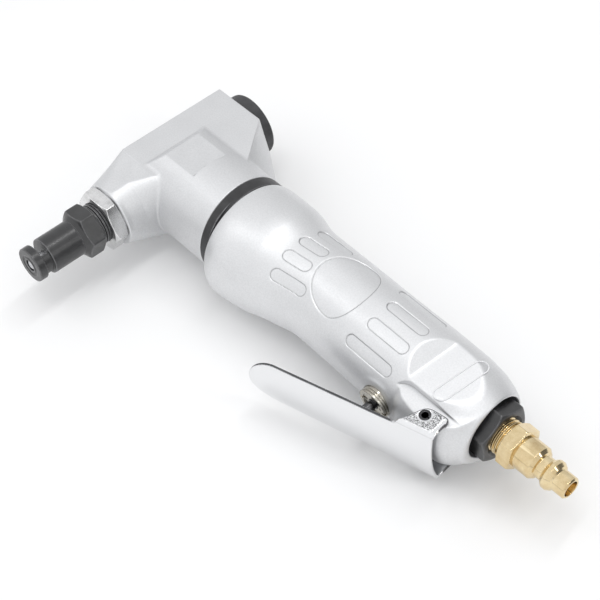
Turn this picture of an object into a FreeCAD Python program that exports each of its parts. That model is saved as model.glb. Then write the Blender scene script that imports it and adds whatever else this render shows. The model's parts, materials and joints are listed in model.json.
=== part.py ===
"""Air nibbler: a pneumatic sheet-metal nibbler with a right-angle head, lying on its side.

Tool axes while modelling: +X runs along the handle from the head to the air inlet, -Y runs along
the punch towards the die and the lever, +Z points up. The modelling origin is where the two axes cross.
At the end everything moves so that the origin is the bottom centre of the whole tool's box.
The handle with its lever is clocked about +X against the head by CLOCK_DEG.
"""
import FreeCAD, Part
import math
import os

from FreeCAD import Vector

# ---------------------------------------------------------------- driving dimensions, millimetres
CLOCK_DEG = 7.0              # handle turned about +X against the head

# head casting
HEAD_FRONT_X = -11.3         # front face of the block
HEAD_HALF_Z = 13.8           # half thickness of the block
HEAD_BACK_Y = 31.1           # back face, where the cap seats
NOSE_ROOT_Y = -15.6          # where the nose begins to taper
NOSE_TIP_Y = -31.4           # seat of the lock nut
NOSE_TIP_R = 12.0
BARREL_R = 19.3              # round barrel of the head, along X
BARREL_END_X = 36.2
BARREL_RAMP = ((-2.0, 12.54), (6.5, 17.9))   # x, z of the sloped start of the barrel
LABEL_FLAT_Z = 17.9          # small flat on each side of the barrel
LABEL_FLAT_X = 20.8
NUT_THREAD_R = 7.75
SPINDLE_BORE_R = 9.0
GEAR_BORE_R = 15.6
RING_SEAT_R = 17.05
CAP_THREAD_R = 9.8

# ram, punch and die
RAM_R = 8.0
RAM_FRONT_Y = -23.0
RAM_BACK_Y = 19.0
SOCKET_R = 3.0               # holds the punch's head
GRUB_R = 1.5                 # grub screw that locks it
GRUB_Y = -20.0
CRANK_THROW = 3.25           # half the stroke
PUNCH_R = 2.2
PUNCH_TIP_Y = -66.3
DIE_R = 6.85
DIE_SHOULDER_Y = -47.4
THROAT_TOP_Y = -60.2
THROAT_BOTTOM_Y = -63.3
DIE_FACE_Y = -66.6
DIE_DISC_R = 6.6
NUT_AF = 21.0
NUT_FRONT_Y = -36.7
HOLDER_AF = 17.0
HOLDER_THREAD_R = 7.7
HOLDER_TURN_DEG = 11.0
CAP_R = 12.35
CAP_BACK_Y = 37.2

# crank and planetary reduction
SPINDLE_R = 6.0
SPINDLE_BEARING_R = 14.0
ROLLER_R = 3.0
GEAR_MODULE = 0.8
SUN_TEETH = 12
PLANET_TEETH = 15
RING_TEETH = 42
GEAR_FRONT_X = 36.9
GEAR_BACK_X = 40.9
RING_BACK_X = 41.2

# motor
MOTOR_R = 15.5               # outside of plates and cylinder
SHAFT_R = 3.0
MOTOR_BEARING_R = 9.5
BORE_PLAY = 0.01             # a race's bore over its shaft
MOTOR_CHAMBER_R = 15.6
ROTOR_R = 10.8
CYLINDER_BORE_R = 12.3
CYLINDER_OFFSET = 1.4
FRONT_PLATE_X = (41.3, 52.4)
CYLINDER_X = (52.4, 76.4)
REAR_PLATE_X = (76.4, 83.8)
VANE_COUNT = 5
VANE_THICK = 1.5

# grip
PAD_DEPTH = 0.5
PAD_SKIN_R = 17.7            # radius that the pads' positions are wrapped on
SIDE_FLAT_Z = 11.7           # the lever's cheeks run over these flats
SIDE_FLAT_TOP_Y = -11.6
FACET_Z = 14.5               # flat towards the butt, one on each side
FACET_RAMP = ((129.9, 17.9), (134.3, 14.5))  # x, z of its sloped front
FACET_SKEW_DEG = 5.0
BUTT_RECESS_X = 149.6
BUTT_RECESS_R = 11.7

# lever and throttle
LEVER_PIN = (145.9, -16.9)   # x, y in the handle's own frame
LEVER_PIN_R = 1.9
LEVER_SLOPE = 0.264          # blade rises towards the pin
LEVER_EDGE_AT = (90.0, -38.28)
LEVER_ARCH_R = 39.0          # cross arch of the blade
LEVER_SAG = 1.9
LEVER_SHEET = 1.2
CHEEK_Z = 12.0               # inner face of the lever's cheeks
CHEEK_OUTLINE = [
    (141.0, -27.0), (141.3, -22.8), (142.4, -18.9), (143.8, -15.4), (145.4, -13.9),
    (147.4, -13.4), (152.4, -12.9), (153.0, -13.5), (153.4, -24.0), (147.0, -27.0),
]
STEM_X = 124.5
STEM_R = 2.0
STEM_TIP_Y = -29.55
BOSS_FACE_Y = -16.5
BUSHING_FACE_Y = -18.9
CHAMBER_R = 5.0
VALVE_PIVOT = (134.8, -3.5)  # centre of the valve's round rocking edge
ROCKER_R = 0.8

# inlet
INLET_HEX_AF = 19.0
INLET_HEX_X = (150.2, 163.7)
INLET_THREAD_R = 8.4
PLUG_THREAD_R = 6.65
PLUG_HEX_AF = 14.3
PLUG_HEX_X = (166.3, 171.7)
PLUG_SHANK_R = 5.9
PLUG_TIP_X = 191.4
PLUG_TIP_R = 3.95
PLUG_BORE_R = 2.5

AXIS = {"X": Vector(1, 0, 0), "Y": Vector(0, 1, 0), "Z": Vector(0, 0, 1)}
ORIGIN = Vector(0, 0, 0)


# ---------------------------------------------------------------- helpers
def cylinder(radius, start, end, axis="X", at=(0.0, 0.0)):
    """Cylinder along an axis from start to end; at is its centre in the other two axes."""
    a, b = at
    base = {"X": Vector(start, a, b), "Y": Vector(a, start, b), "Z": Vector(a, b, start)}[axis]
    return Part.makeCylinder(radius, end - start, base, AXIS[axis])


def tube(outer, inner, start, end, axis="X", at=(0.0, 0.0)):
    return cylinder(outer, start, end, axis, at).cut(cylinder(inner, start - 1, end + 1, axis, at))


def cone(r_start, r_end, start, end, axis="X"):
    base = {"X": Vector(start, 0, 0), "Y": Vector(0, start, 0), "Z": Vector(0, 0, start)}[axis]
    return Part.makeCone(r_start, r_end, end - start, base, AXIS[axis])


def box(x0, x1, y0, y1, z0, z1):
    return Part.makeBox(x1 - x0, y1 - y0, z1 - z0, Vector(x0, y0, z0))


def turned(profile, axis="X", at=(0.0, 0.0)):
    """Solid of revolution; profile is (position along the axis, radius) pairs, closed automatically."""
    a, b = at
    if axis == "X":
        points = [Vector(p, a + r, b) for p, r in profile]
        centre = Vector(0, a, b)
    else:
        points = [Vector(a + r, p, b) for p, r in profile]
        centre = Vector(a, 0, b)
    face = Part.Face(Part.makePolygon(points + [points[0]]))
    return face.revolve(centre, AXIS[axis], 360)


def hexagon(across_flats, start, end, axis="X", turn_deg=0.0, chamfer=0.0):
    """Hexagonal bar, its corners trimmed by a cone of the given axial chamfer at both ends."""
    corner = across_flats / math.sqrt(3)
    points = []
    for k in range(7):
        t = math.radians(turn_deg + 60 * k)
        u, v = corner * math.cos(t), corner * math.sin(t)
        points.append(Vector(start, u, v) if axis == "X" else Vector(u, start, v))
    bar = Part.Face(Part.makePolygon(points)).extrude(AXIS[axis] * (end - start))
    if not chamfer:
        return bar
    low = across_flats / 2 - 0.1
    profile = [(start, 0), (start, low), (start + chamfer, corner + 0.05)]
    profile += [(end - chamfer, corner + 0.05), (end, low), (end, 0)]
    return bar.common(turned(profile, axis))


def ring_of(shape, count, axis="X", start_deg=0.0):
    """The same shape repeated around an axis through the origin."""
    return [shape.rotated(ORIGIN, AXIS[axis], start_deg + 360.0 * k / count) for k in range(count)]


def fuse(shapes):
    first = shapes[0]
    return first.fuse(shapes[1:]).removeSplitter() if len(shapes) > 1 else first


def closed_curve(points):
    """Smooth closed wire through points."""
    curve = Part.BSplineCurve()
    curve.interpolate(Points=points, PeriodicFlag=True)
    return Part.Wire([curve.toShape()])


def polygon_wire(points):
    return Part.makePolygon(points + [points[0]])


# ---------------------------------------------------------------- head casting
def nose_section(y, x_low, x_high, half_z, r_low, r_high, count=48):
    """Rounded rectangle across the nose; equal widths and radii give a circle."""
    points = []
    for k in range(count):
        t = 2 * math.pi * k / count
        c, s = math.cos(t), math.sin(t)
        half_x, radius = (x_high, r_high) if c >= 0 else (x_low, r_low)
        radius = min(radius, half_x, half_z)
        inside, outside = 0.0, 2.0 * max(half_x, half_z)
        for _ in range(30):
            d = (inside + outside) / 2
            qx = abs(d * c) - half_x + radius
            qz = abs(d * s) - half_z + radius
            if math.hypot(max(qx, 0.0), max(qz, 0.0)) > radius or max(qx, qz) > radius:
                outside = d
            else:
                inside = d
        points.append(Vector(d * c, y, d * s))
    return closed_curve(points)


def head_web():
    """Wedge that carries the block back into the barrel, with a ridge along its middle."""
    half, low = HEAD_HALF_Z, -12.0
    front = [(HEAD_FRONT_X, low), (HEAD_FRONT_X, HEAD_BACK_Y)]
    edge = front + [(11.5, HEAD_BACK_Y), (23.6, 14.9), (23.6, low)]
    ridge = front + [(16.0, HEAD_BACK_Y), (34.2, 19.2), (34.2, low)]
    sections = [(edge, -half), (ridge, 0.0), (edge, half)]
    wires = [polygon_wire([Vector(x, y, z) for x, y in outline]) for outline, z in sections]
    return Part.makeLoft(wires, True, True)


def head_nose():
    """Taper from the block's square end to the round seat of the lock nut, and its root in the barrel."""
    tip = NOSE_TIP_R
    root = NOSE_ROOT_Y + 0.01
    low, half = -HEAD_FRONT_X - 0.02, HEAD_HALF_Z - 0.02
    taper = [
        nose_section(root, low, 13.2, half, 1.6, 8.8),
        nose_section((root + NOSE_TIP_Y) / 2, 11.65, 12.6, 12.9, 9.3, 10.4),
        nose_section(NOSE_TIP_Y, tip, tip, tip, tip, tip),
    ]
    shoulder = [
        nose_section(root, low, 13.2, half, 1.6, 8.8),
        nose_section(-6.0, low, 14.0, half, 1.6, 7.0),
    ]
    return [Part.makeLoft(taper, True, True), Part.makeLoft(shoulder, True, True)]


def head_barrel():
    """Round barrel with a sloped start and a small flat on each side."""
    barrel = cylinder(BARREL_R, 0.0, BARREL_END_X)
    clear = BARREL_R + 6.0
    (x0, z0), (x1, z1) = BARREL_RAMP
    for side in (1, -1):
        ramp = [(x0, side * z0), (x1, side * z1), (x1, side * clear), (x0, side * clear)]
        wedge = Part.Face(polygon_wire([Vector(x, -30, z) for x, z in ramp])).extrude(Vector(0, 60, 0))
        barrel = barrel.cut(wedge)
        low, high = sorted((side * LABEL_FLAT_Z, side * clear))
        barrel = barrel.cut(box(x1 - 0.1, LABEL_FLAT_X, -12, 12, low, high))
    return barrel


def head_outside():
    """Block, nose, barrel and the webs between them, with no holes."""
    block = box(HEAD_FRONT_X, 1.0, NOSE_ROOT_Y, HEAD_BACK_Y, -HEAD_HALF_Z, HEAD_HALF_Z)
    return fuse([block, head_web(), head_barrel()] + head_nose())


def head_housing():
    head = head_outside()
    cuts = [
        cylinder(RAM_R + 0.05, NOSE_TIP_Y + 4.0, HEAD_BACK_Y + 1, "Y"),
        cylinder(NUT_THREAD_R, NOSE_TIP_Y - 1, NOSE_TIP_Y + 5.0, "Y"),
        cylinder(CAP_THREAD_R, 26.0, HEAD_BACK_Y + 1, "Y"),
        cylinder(8.4, 0.0, 14.0),
        cylinder(SPINDLE_BEARING_R, 13.0, 21.0),
        cylinder(SPINDLE_BORE_R, 20.0, 28.0),
        cylinder(GEAR_BORE_R, 27.2, BARREL_END_X + 1),
        cylinder(RING_SEAT_R, 33.0, BARREL_END_X + 1),
    ]
    for tool in cuts:
        head = head.cut(tool)
    return head


def rear_cap():
    """Flanged screw plug that closes the ram bore, with two spanner holes."""
    face = CAP_BACK_Y
    profile = [(26.6, 0), (26.6, 9.0), (27.2, 9.75), (HEAD_BACK_Y + 0.6, 9.75), (HEAD_BACK_Y + 0.6, CAP_R)]
    profile += [(face - 1.4, CAP_R), (face - 0.4, CAP_R - 0.5), (face, CAP_R - 1.6), (face, 0)]
    cap = turned(profile, "Y")
    cap = cap.cut(cylinder(7.4, 20.0, 30.5, "Y"))
    for x in (-6.5, 6.5):
        cap = cap.cut(cylinder(1.6, face - 2.5, face + 1, "Y", (x, 0.0)))
    return cap


def cap_seal():
    return tube(11.0, 9.85, HEAD_BACK_Y, HEAD_BACK_Y + 0.6, "Y")


def punch_guide():
    """Bronze sleeve in the nose that guides the punch."""
    return tube(7.7, PUNCH_R + 0.06, -31.2, -27.6, "Y")


# ---------------------------------------------------------------- ram, punch and die
def ram():
    body = cylinder(RAM_R - 0.05, RAM_FRONT_Y, RAM_BACK_Y, "Y")
    low = -3 * CRANK_THROW - ROLLER_R - 0.35
    high = CRANK_THROW + ROLLER_R + 0.35
    half = CRANK_THROW + ROLLER_R + 0.35
    slot = box(0.3, RAM_R + 1, low, high, -half, half)
    socket = cylinder(SOCKET_R, RAM_FRONT_Y - 1, RAM_FRONT_Y + 6, "Y")
    lightening = cylinder(4.5, RAM_BACK_Y - 8, RAM_BACK_Y + 1, "Y")
    tapped = cylinder(GRUB_R + 0.02, 0.0, RAM_R + 1, "Z", (0.0, GRUB_Y))
    return body.cut(slot).cut(socket).cut(lightening).cut(tapped)


def punch():
    """Hardened punch: a head held in the ram, a long shank and a stepped cutting tip."""
    head, head_r = RAM_FRONT_Y + 5.9, SOCKET_R - 0.05
    profile = [(head, 0), (head, head_r), (RAM_FRONT_Y, head_r), (RAM_FRONT_Y, PUNCH_R)]
    profile += [(PUNCH_TIP_Y + 0.5, PUNCH_R), (PUNCH_TIP_Y, PUNCH_R - 0.5), (PUNCH_TIP_Y, 0)]
    return turned(profile, "Y")


def punch_retainer():
    """Grub screw across the ram that locks the punch head."""
    screw = cylinder(GRUB_R, SOCKET_R + 0.02, RAM_R - 0.5, "Z", (0.0, GRUB_Y))
    socket = hexagon(1.5, 0.0, 1.4, "Y").rotated(ORIGIN, AXIS["X"], 90)
    return screw.cut(socket.translated(Vector(0, GRUB_Y, RAM_R - 1.6)))


def lock_nut():
    nut = hexagon(NUT_AF, NUT_FRONT_Y, NOSE_TIP_Y, "Y", 0.0, 0.9)
    return nut.cut(cylinder(HOLDER_THREAD_R + 0.05, NUT_FRONT_Y - 1, NOSE_TIP_Y + 1, "Y"))


def die_holder():
    """Threaded sleeve with wrench flats that screws into the nose."""
    thread = cylinder(HOLDER_THREAD_R, -39.4, -31.6, "Y")
    for y in (-37.6, -38.8):
        thread = thread.cut(tube(9.0, HOLDER_THREAD_R - 0.45, y - 0.3, y + 0.3, "Y"))
    flats = hexagon(HOLDER_AF, -46.0, -39.4, "Y", HOLDER_TURN_DEG, 0.7)
    taper = cone(DIE_R, 8.2, DIE_SHOULDER_Y, -46.0, "Y")
    body = fuse([thread, flats, taper])
    body = body.cut(cylinder(5.6, -48.0, -36.0, "Y"))
    return body.cut(cylinder(PUNCH_R + 0.3, -40.0, -30.0, "Y"))


def die():
    """Die: shank in the holder, barrel, a half neck beside the throat, and the cutting disc."""
    shank = cylinder(5.55, DIE_SHOULDER_Y - 0.5, -36.6, "Y")
    barrel = cylinder(DIE_R, THROAT_TOP_Y, DIE_SHOULDER_Y - 0.02, "Y")
    neck = cylinder(5.7, THROAT_BOTTOM_Y - 0.5, THROAT_TOP_Y + 0.5, "Y")
    open_side = box(-20, -0.7, THROAT_BOTTOM_Y, THROAT_TOP_Y, -20, 20)
    neck = neck.cut(open_side.rotated(ORIGIN, AXIS["Y"], 38.0))
    rim = 0.5
    disc = turned(
        [
            (THROAT_BOTTOM_Y, 0),
            (THROAT_BOTTOM_Y, DIE_DISC_R - 0.2),
            (THROAT_BOTTOM_Y - 0.3, DIE_DISC_R),
            (DIE_FACE_Y + rim, DIE_DISC_R),
            (DIE_FACE_Y, DIE_DISC_R - rim),
            (DIE_FACE_Y, 4.3),
            (DIE_FACE_Y + 0.6, 3.9),
            (DIE_FACE_Y + 0.6, 3.2),
            (DIE_FACE_Y + 0.1, 3.0),
            (DIE_FACE_Y + 0.1, 0),
        ],
        "Y",
    )
    body = fuse([shank, barrel, neck, disc])
    return body.cut(cylinder(PUNCH_R + 0.06, -70.0, -30.0, "Y"))


# ---------------------------------------------------------------- crank and gears
def gear_wire(teeth, x, internal=False, turn_deg=0.0):
    """Straight-flanked tooth outline with running backlash."""
    pitch = GEAR_MODULE * teeth / 2
    if internal:
        radii = (pitch + 1.25 * GEAR_MODULE, pitch - 0.8 * GEAR_MODULE)
    else:
        radii = (pitch - 1.25 * GEAR_MODULE, pitch + 0.8 * GEAR_MODULE)
    root, tip = radii
    half_root, half_tip = (0.34, 0.10) if not internal else (0.34, 0.12)
    step = 360.0 / teeth
    points = []
    for k in range(teeth):
        for share, radius in ((-half_root, root), (-half_tip, tip), (half_tip, tip), (half_root, root)):
            t = math.radians(turn_deg + (k + share) * step)
            points.append(Vector(x, radius * math.cos(t), radius * math.sin(t)))
    return polygon_wire(points)


def gear_bar(teeth, start, end, internal=False, turn_deg=0.0):
    return Part.Face(gear_wire(teeth, start, internal, turn_deg)).extrude(Vector(end - start, 0, 0))


def ring_gear():
    """Internal gear whose black rim shows between the head and the grip."""
    rim = cylinder(BARREL_R, BARREL_END_X, RING_BACK_X)
    spigot = cylinder(17.0, 34.0, BARREL_END_X + 0.1)
    body = fuse([rim, spigot]).cut(cylinder(15.3, 33.0, GEAR_FRONT_X))
    return body.cut(gear_bar(RING_TEETH, GEAR_FRONT_X - 0.3, RING_BACK_X + 1, True, 180.0 / RING_TEETH))


def planet_gear(index):
    orbit = GEAR_MODULE * (SUN_TEETH + PLANET_TEETH) / 2
    # the sun's teeth stand at 0 and 120 degrees, so a planet needs a gap there
    turn = 180.0 / PLANET_TEETH + 180.0
    gear = gear_bar(PLANET_TEETH, GEAR_FRONT_X, GEAR_BACK_X, False, turn)
    gear = gear.cut(cylinder(1.56, GEAR_FRONT_X - 1, GEAR_BACK_X + 1))
    return gear.translated(Vector(0, orbit, 0)).rotated(ORIGIN, AXIS["X"], 120.0 * index)


def crank_spindle():
    """Planet carrier, journal and eccentric pin in one turned piece."""
    flange = turned([(28.4, 0), (28.4, 14.8), (34.6, 14.8), (34.6, 9.0), (30.5, 9.0), (30.5, 0)])
    journal = cylinder(SPINDLE_R, 12.0, 28.5)
    web = cylinder(7.9, 9.0, 12.0)
    pin = cylinder(2.4, 1.0, 9.1, "X", (-CRANK_THROW, 0.0))
    body = fuse([flange, journal, web, pin])
    orbit = GEAR_MODULE * (SUN_TEETH + PLANET_TEETH) / 2
    for hole in ring_of(cylinder(1.5, 28.0, 35.0, "X", (orbit, 0.0)), 3):
        body = body.cut(hole)
    return body


def planet_pins():
    orbit = GEAR_MODULE * (SUN_TEETH + PLANET_TEETH) / 2
    return ring_of(cylinder(1.5, 28.6, GEAR_BACK_X, "X", (orbit, 0.0)), 3)


def crank_roller():
    return tube(ROLLER_R, 2.46, 1.1, 8.4, "X", (-CRANK_THROW, 0.0))


def spindle_bush():
    return tube(8.99, SPINDLE_R + 0.05, 21.2, 27.0)


# ---------------------------------------------------------------- ball bearings
def bearing_race(r_in, r_out, start, end, pitch, ball_r, outer):
    """One race: outer keeps the material outside the pitch circle, inner the material inside it."""
    gap = ball_r * 0.45
    race = tube(r_out, pitch + gap, start, end) if outer else tube(pitch - gap, r_in, start, end)
    middle = (start + end) / 2
    groove = Part.makeTorus(pitch, ball_r + 0.06, Vector(middle, 0, 0), AXIS["X"])
    return race.cut(groove)


def spindle_race(outer):
    return bearing_race(SPINDLE_R + BORE_PLAY, SPINDLE_BEARING_R, **SPINDLE_BEARING, outer=outer)


def motor_race(bearing, outer):
    return bearing_race(SHAFT_R + BORE_PLAY, MOTOR_BEARING_R, **bearing, outer=outer)


def bearing_balls(start, end, pitch, ball_r, count):
    middle = (start + end) / 2
    ball = Part.makeSphere(ball_r, Vector(middle, pitch, 0))
    return ring_of(ball, count)


SPINDLE_BEARING = dict(start=13.1, end=20.9, pitch=10.0, ball_r=2.3)
FRONT_BEARING = dict(start=45.4, end=51.2, pitch=6.25, ball_r=1.6)
REAR_BEARING = dict(start=77.4, end=83.2, pitch=6.25, ball_r=1.6)


# ---------------------------------------------------------------- motor
def end_plate(span, bearing, shaft_side_start):
    start, end = span
    plate = cylinder(MOTOR_R, start, end)
    plate = plate.cut(cylinder(MOTOR_BEARING_R, bearing["start"] - 0.05, bearing["end"] + 0.05))
    mouth = (start - 1, bearing["start"]) if shaft_side_start else (bearing["end"], end + 1)
    plate = plate.cut(cylinder(MOTOR_BEARING_R, *mouth))
    plate = plate.cut(cylinder(4.2, start - 1, end + 1))
    return plate.cut(dowel_hole())


def dowel_hole():
    return cylinder(1.2, 46.0, 82.0, "X", (0.0, 13.2))


def motor_front_plate():
    return end_plate(FRONT_PLATE_X, FRONT_BEARING, True)


def motor_rear_plate():
    plate = end_plate(REAR_PLATE_X, REAR_BEARING, False)
    for angle in (150.0, 180.0, 210.0):
        port = cylinder(1.3, 70.0, 90.0, "X", (11.6, 0.0)).rotated(ORIGIN, AXIS["X"], angle)
        plate = plate.cut(port)
    return plate


def motor_cylinder():
    """Liner whose bore is offset from the rotor, with a row of exhaust holes."""
    body = cylinder(MOTOR_R, *CYLINDER_X)
    start, end = CYLINDER_X
    body = body.cut(cylinder(CYLINDER_BORE_R, start - 1, end + 1, "X", (0.0, -CYLINDER_OFFSET)))
    for x in (58.0, 64.4, 70.8):
        body = body.cut(cylinder(1.4, 5.0, 20.0, "Y", (x, -1.4)))
    return body.cut(dowel_hole())


def cylinder_dowel():
    return cylinder(1.2, 46.0, 82.0, "X", (0.0, 13.2))


def vane_slots(half, low):
    slot = box(CYLINDER_X[0] - 1, CYLINDER_X[1] + 1, low, ROTOR_R + 1, -half, half)
    return ring_of(slot, VANE_COUNT, start_deg=90.0)


def rotor():
    """Slotted rotor with both journals and the integral sun pinion."""
    start, end = CYLINDER_X
    body = cylinder(ROTOR_R, start + 0.1, end - 0.1)
    for slot in vane_slots(VANE_THICK / 2 + 0.05, 4.6):
        body = body.cut(slot)
    shaft = cylinder(SHAFT_R, 41.6, 83.6)
    sun = gear_bar(SUN_TEETH, GEAR_FRONT_X, 41.6)
    return fuse([body, shaft, sun])


def rotor_vanes():
    start, end = CYLINDER_X
    half = VANE_THICK / 2
    vane = box(start + 0.2, end - 0.2, 4.7, ROTOR_R - 0.05, -half, half)
    return ring_of(vane, VANE_COUNT, start_deg=90.0)


# ---------------------------------------------------------------- grip casting
# stations along the grip: x, centre y, half width along Y, half thickness along Z
GRIP_STATIONS = [
    (41.2, -0.9, 20.3, 19.4),
    (43.6, -1.7, 21.6, 19.8),
    (46.0, -2.1, 22.3, 20.0),
    (49.0, -2.3, 22.6, 20.1),
    (53.0, -2.1, 22.3, 20.1),
    (57.0, -1.9, 21.9, 20.0),
    (60.5, -1.9, 21.3, 19.6),
    (64.0, -1.9, 20.3, 18.8),
    (68.0, -1.7, 19.4, 18.1),
    (73.0, -1.2, 18.7, 17.8),
    (80.0, -0.4, 17.8, 17.6),
    (90.0, -0.4, 17.7, 17.5),
    (105.0, -0.7, 17.8, 17.5),
    (120.0, -0.9, 17.9, 17.4),
    (135.0, -1.2, 17.9, 17.3),
    (146.0, -1.4, 17.6, 16.7),
    (151.5, -1.5, 17.0, 15.3),
    (155.5, -1.5, 15.8, 14.1),
    (158.2, -1.4, 14.4, 13.2),
    (159.6, -1.3, 13.2, 12.6),
]


def grip_section(x, centre, half_y, half_z, inset=0.0, count=24):
    points = []
    for k in range(count):
        t = 2 * math.pi * k / count
        y = centre + (half_y - inset) * math.cos(t)
        points.append(Vector(x, y, (half_z - inset) * math.sin(t)))
    return closed_curve(points)


def grip_skin(inset=0.0):
    """Outer form of the grip, or the same form shrunk by an inset."""
    wires = [grip_section(*station, inset) for station in GRIP_STATIONS]
    return Part.makeLoft(wires, True, False)


def obround(length, width, corner):
    """Flat pad outline in the plane x, y, centred on the origin."""
    u, v, r = length / 2, width / 2, corner
    edges = []
    corners = [(u - r, v - r, 0), (-u + r, v - r, 90), (-u + r, -v + r, 180), (u - r, -v + r, 270)]
    ends = []
    for cx, cy, start in corners:
        a, m, b = (math.radians(start + d) for d in (0, 45, 90))
        points = [Vector(cx + r * math.cos(t), cy + r * math.sin(t), 0) for t in (a, m, b)]
        ends.append(points)
        edges.append(Part.Arc(*points).toShape())
    for k in range(4):
        first, second = ends[k][2], ends[(k + 1) % 4][0]
        if first.distanceToPoint(second) > 1e-6:
            edges.append(Part.makeLine(first, second))
    return Part.Wire(Part.__sortEdges__(edges))


def pad_tool(length, width, corner, x, angle_deg, centre_y):
    """Prism standing on the grip's skin over one recessed pad."""
    face = Part.Face(obround(length, width, corner))
    prism = face.extrude(Vector(0, 0, 14)).translated(Vector(x, 0, 10))
    prism = prism.rotated(ORIGIN, AXIS["X"], -angle_deg)
    return prism.translated(Vector(0, centre_y, 0))


def pad_tools():
    """Recessed finger pads and the thumb oval, on both sides of the grip."""
    tools = []
    for side in (0, 180):
        for angle in (-38, -12.7, 12.7, 38):
            tools.append(pad_tool(12.4, 5.4, 2.69, 75.0, side + angle, -1.3))
        for angle in (-45, -15, 15, 45):
            tools.append(pad_tool(19.0, 4.9, 2.44, 117.5, side + angle, -0.8))
        tools.append(thumb_tool(side))
    return tools


def thumb_tool(side):
    """Oval across the grip, its outline wrapped by cutting it from straight above."""
    outline = Part.Ellipse(ORIGIN, 12.2, 10.9).toShape()
    face = Part.Face(Part.Wire([outline]))
    face = face.rotated(ORIGIN, AXIS["Z"], 90)
    prism = face.extrude(Vector(0, 0, 24)).translated(Vector(92.0, -0.6, 2))
    return prism.rotated(ORIGIN, AXIS["X"], side)


def side_flats():
    """Steps on both sides of the grip that the lever's cheeks run over."""
    tools = []
    corner = 7.0
    for side in (1, -1):
        x0, x1, y0, y1 = 129.4, 162.0, -30.0, SIDE_FLAT_TOP_Y
        z = side * SIDE_FLAT_Z
        arc = Part.Arc(
            Vector(x0, y1 - corner, z),
            Vector(x0 + corner * 0.293, y1 - corner * 0.293, z),
            Vector(x0 + corner, y1, z),
        ).toShape()
        edges = [
            arc,
            Part.makeLine(Vector(x0 + corner, y1, z), Vector(x1, y1, z)),
            Part.makeLine(Vector(x1, y1, z), Vector(x1, y0, z)),
            Part.makeLine(Vector(x1, y0, z), Vector(x0, y0, z)),
            Part.makeLine(Vector(x0, y0, z), Vector(x0, y1 - corner, z)),
        ]
        tools.append(Part.Face(Part.Wire(edges)).extrude(Vector(0, 0, side * 20)))
    return tools


def facet_tools():
    """Flat with a sloped front towards the butt, set slightly askew, on both sides."""
    tools = []
    (x0, z0), (x1, z1) = FACET_RAMP
    for side in (1, -1):
        outline = [(x0, z0), (x1, z1), (170.0, FACET_Z), (170.0, 25.0), (x0, 25.0)]
        wire = polygon_wire([Vector(x, -30, side * z) for x, z in outline])
        prism = Part.Face(wire).extrude(Vector(0, 60, 0))
        tools.append(prism.rotated(Vector(x1, 0, 0), AXIS["Z"], -FACET_SKEW_DEG))
    return tools


def grip_outside():
    skin = grip_skin()
    core = grip_skin(PAD_DEPTH)
    pockets = [tool.cut(core) for tool in pad_tools()]
    body = skin.cut(Part.makeCompound(pockets))
    boss_line = [(-5.0, 0), (-5.0, 9.4), (-14.4, 8.9), (-16.1, 7.6), (BOSS_FACE_Y, 7.2), (BOSS_FACE_Y, 0)]
    boss = turned(boss_line, "Y", (STEM_X, 0))
    lug = turned([(129.0, 0), (129.0, 14.0), (133.0, 19.0), (138.0, 20.7), (148.0, 20.7), (152.5, 19.6),
                  (155.8, 17.2), (158.0, 14.4), (158.0, 0)])
    lug = lug.common(box(120.0, 170.0, -30.0, -6.0, -SIDE_FLAT_Z, SIDE_FLAT_Z))
    body = body.fuse([boss, lug])
    for tool in side_flats():
        body = body.cut(tool)
    for tool in facet_tools():
        body = body.cut(tool)
    return body


def grip_housing():
    body = grip_outside()
    tools = [
        cylinder(MOTOR_CHAMBER_R, 40.0, 84.0),
        cylinder(BUTT_RECESS_R, BUTT_RECESS_X, 170),
        cylinder(INLET_THREAD_R, 139.0, 170),
        cylinder(CHAMBER_R, 116.0, 140.0),
        cylinder(2.4, 83.0, 117.0),
        cylinder(6.0, -25.0, -8.0, "Y", (STEM_X, 0.0)),
        cylinder(STEM_R + 0.3, -10.0, 0.0, "Y", (STEM_X, 0.0)),
        cylinder(LEVER_PIN_R, -20, 20, "Z", LEVER_PIN),
    ]
    for angle in (-45.0, 0.0, 45.0):
        port = cylinder(1.9, 83.0, 150.0, "X", (12.9, 0.0)).rotated(ORIGIN, AXIS["X"], angle)
        tools.append(port)
    for tool in tools:
        body = body.cut(tool)
    return body


# ---------------------------------------------------------------- lever and throttle
def lever_bar(radius, start, end):
    """Round bar along the blade; its underside is the blade's arch."""
    bar = cylinder(radius, start, end, "X", (LEVER_ARCH_R - LEVER_SAG, 0.0))
    return place_on_blade(bar)


def place_on_blade(shape):
    """From the blade's own axes (along it, across its thickness) to the handle's."""
    turned_up = shape.rotated(ORIGIN, AXIS["Z"], math.degrees(math.atan(LEVER_SLOPE)))
    return turned_up.translated(Vector(*LEVER_EDGE_AT, 0))


def lever_plan():
    """Outline of the pressed blade seen square on, as a thick prism."""
    nose_r, nose_u, neck_u, rear_u = 10.8, 6.7, 52.2, 65.6
    wide = CHEEK_Z + LEVER_SHEET
    sides = [(neck_u, 11.5), (neck_u + 1.6, wide), (rear_u, wide)]
    upper = [Vector(u, -12, z) for u, z in [(nose_u, nose_r)] + sides]
    lower = [Vector(u, -12, -z) for u, z in reversed([(nose_u, nose_r)] + sides)]
    arc = Part.Arc(lower[-1], Vector(nose_u - nose_r, -12, 0), upper[0]).toShape()
    line = Part.makePolygon(upper + lower)
    face = Part.Face(Part.Wire([arc] + line.Edges))
    return place_on_blade(face.extrude(Vector(0, 30, 0)))


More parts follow.
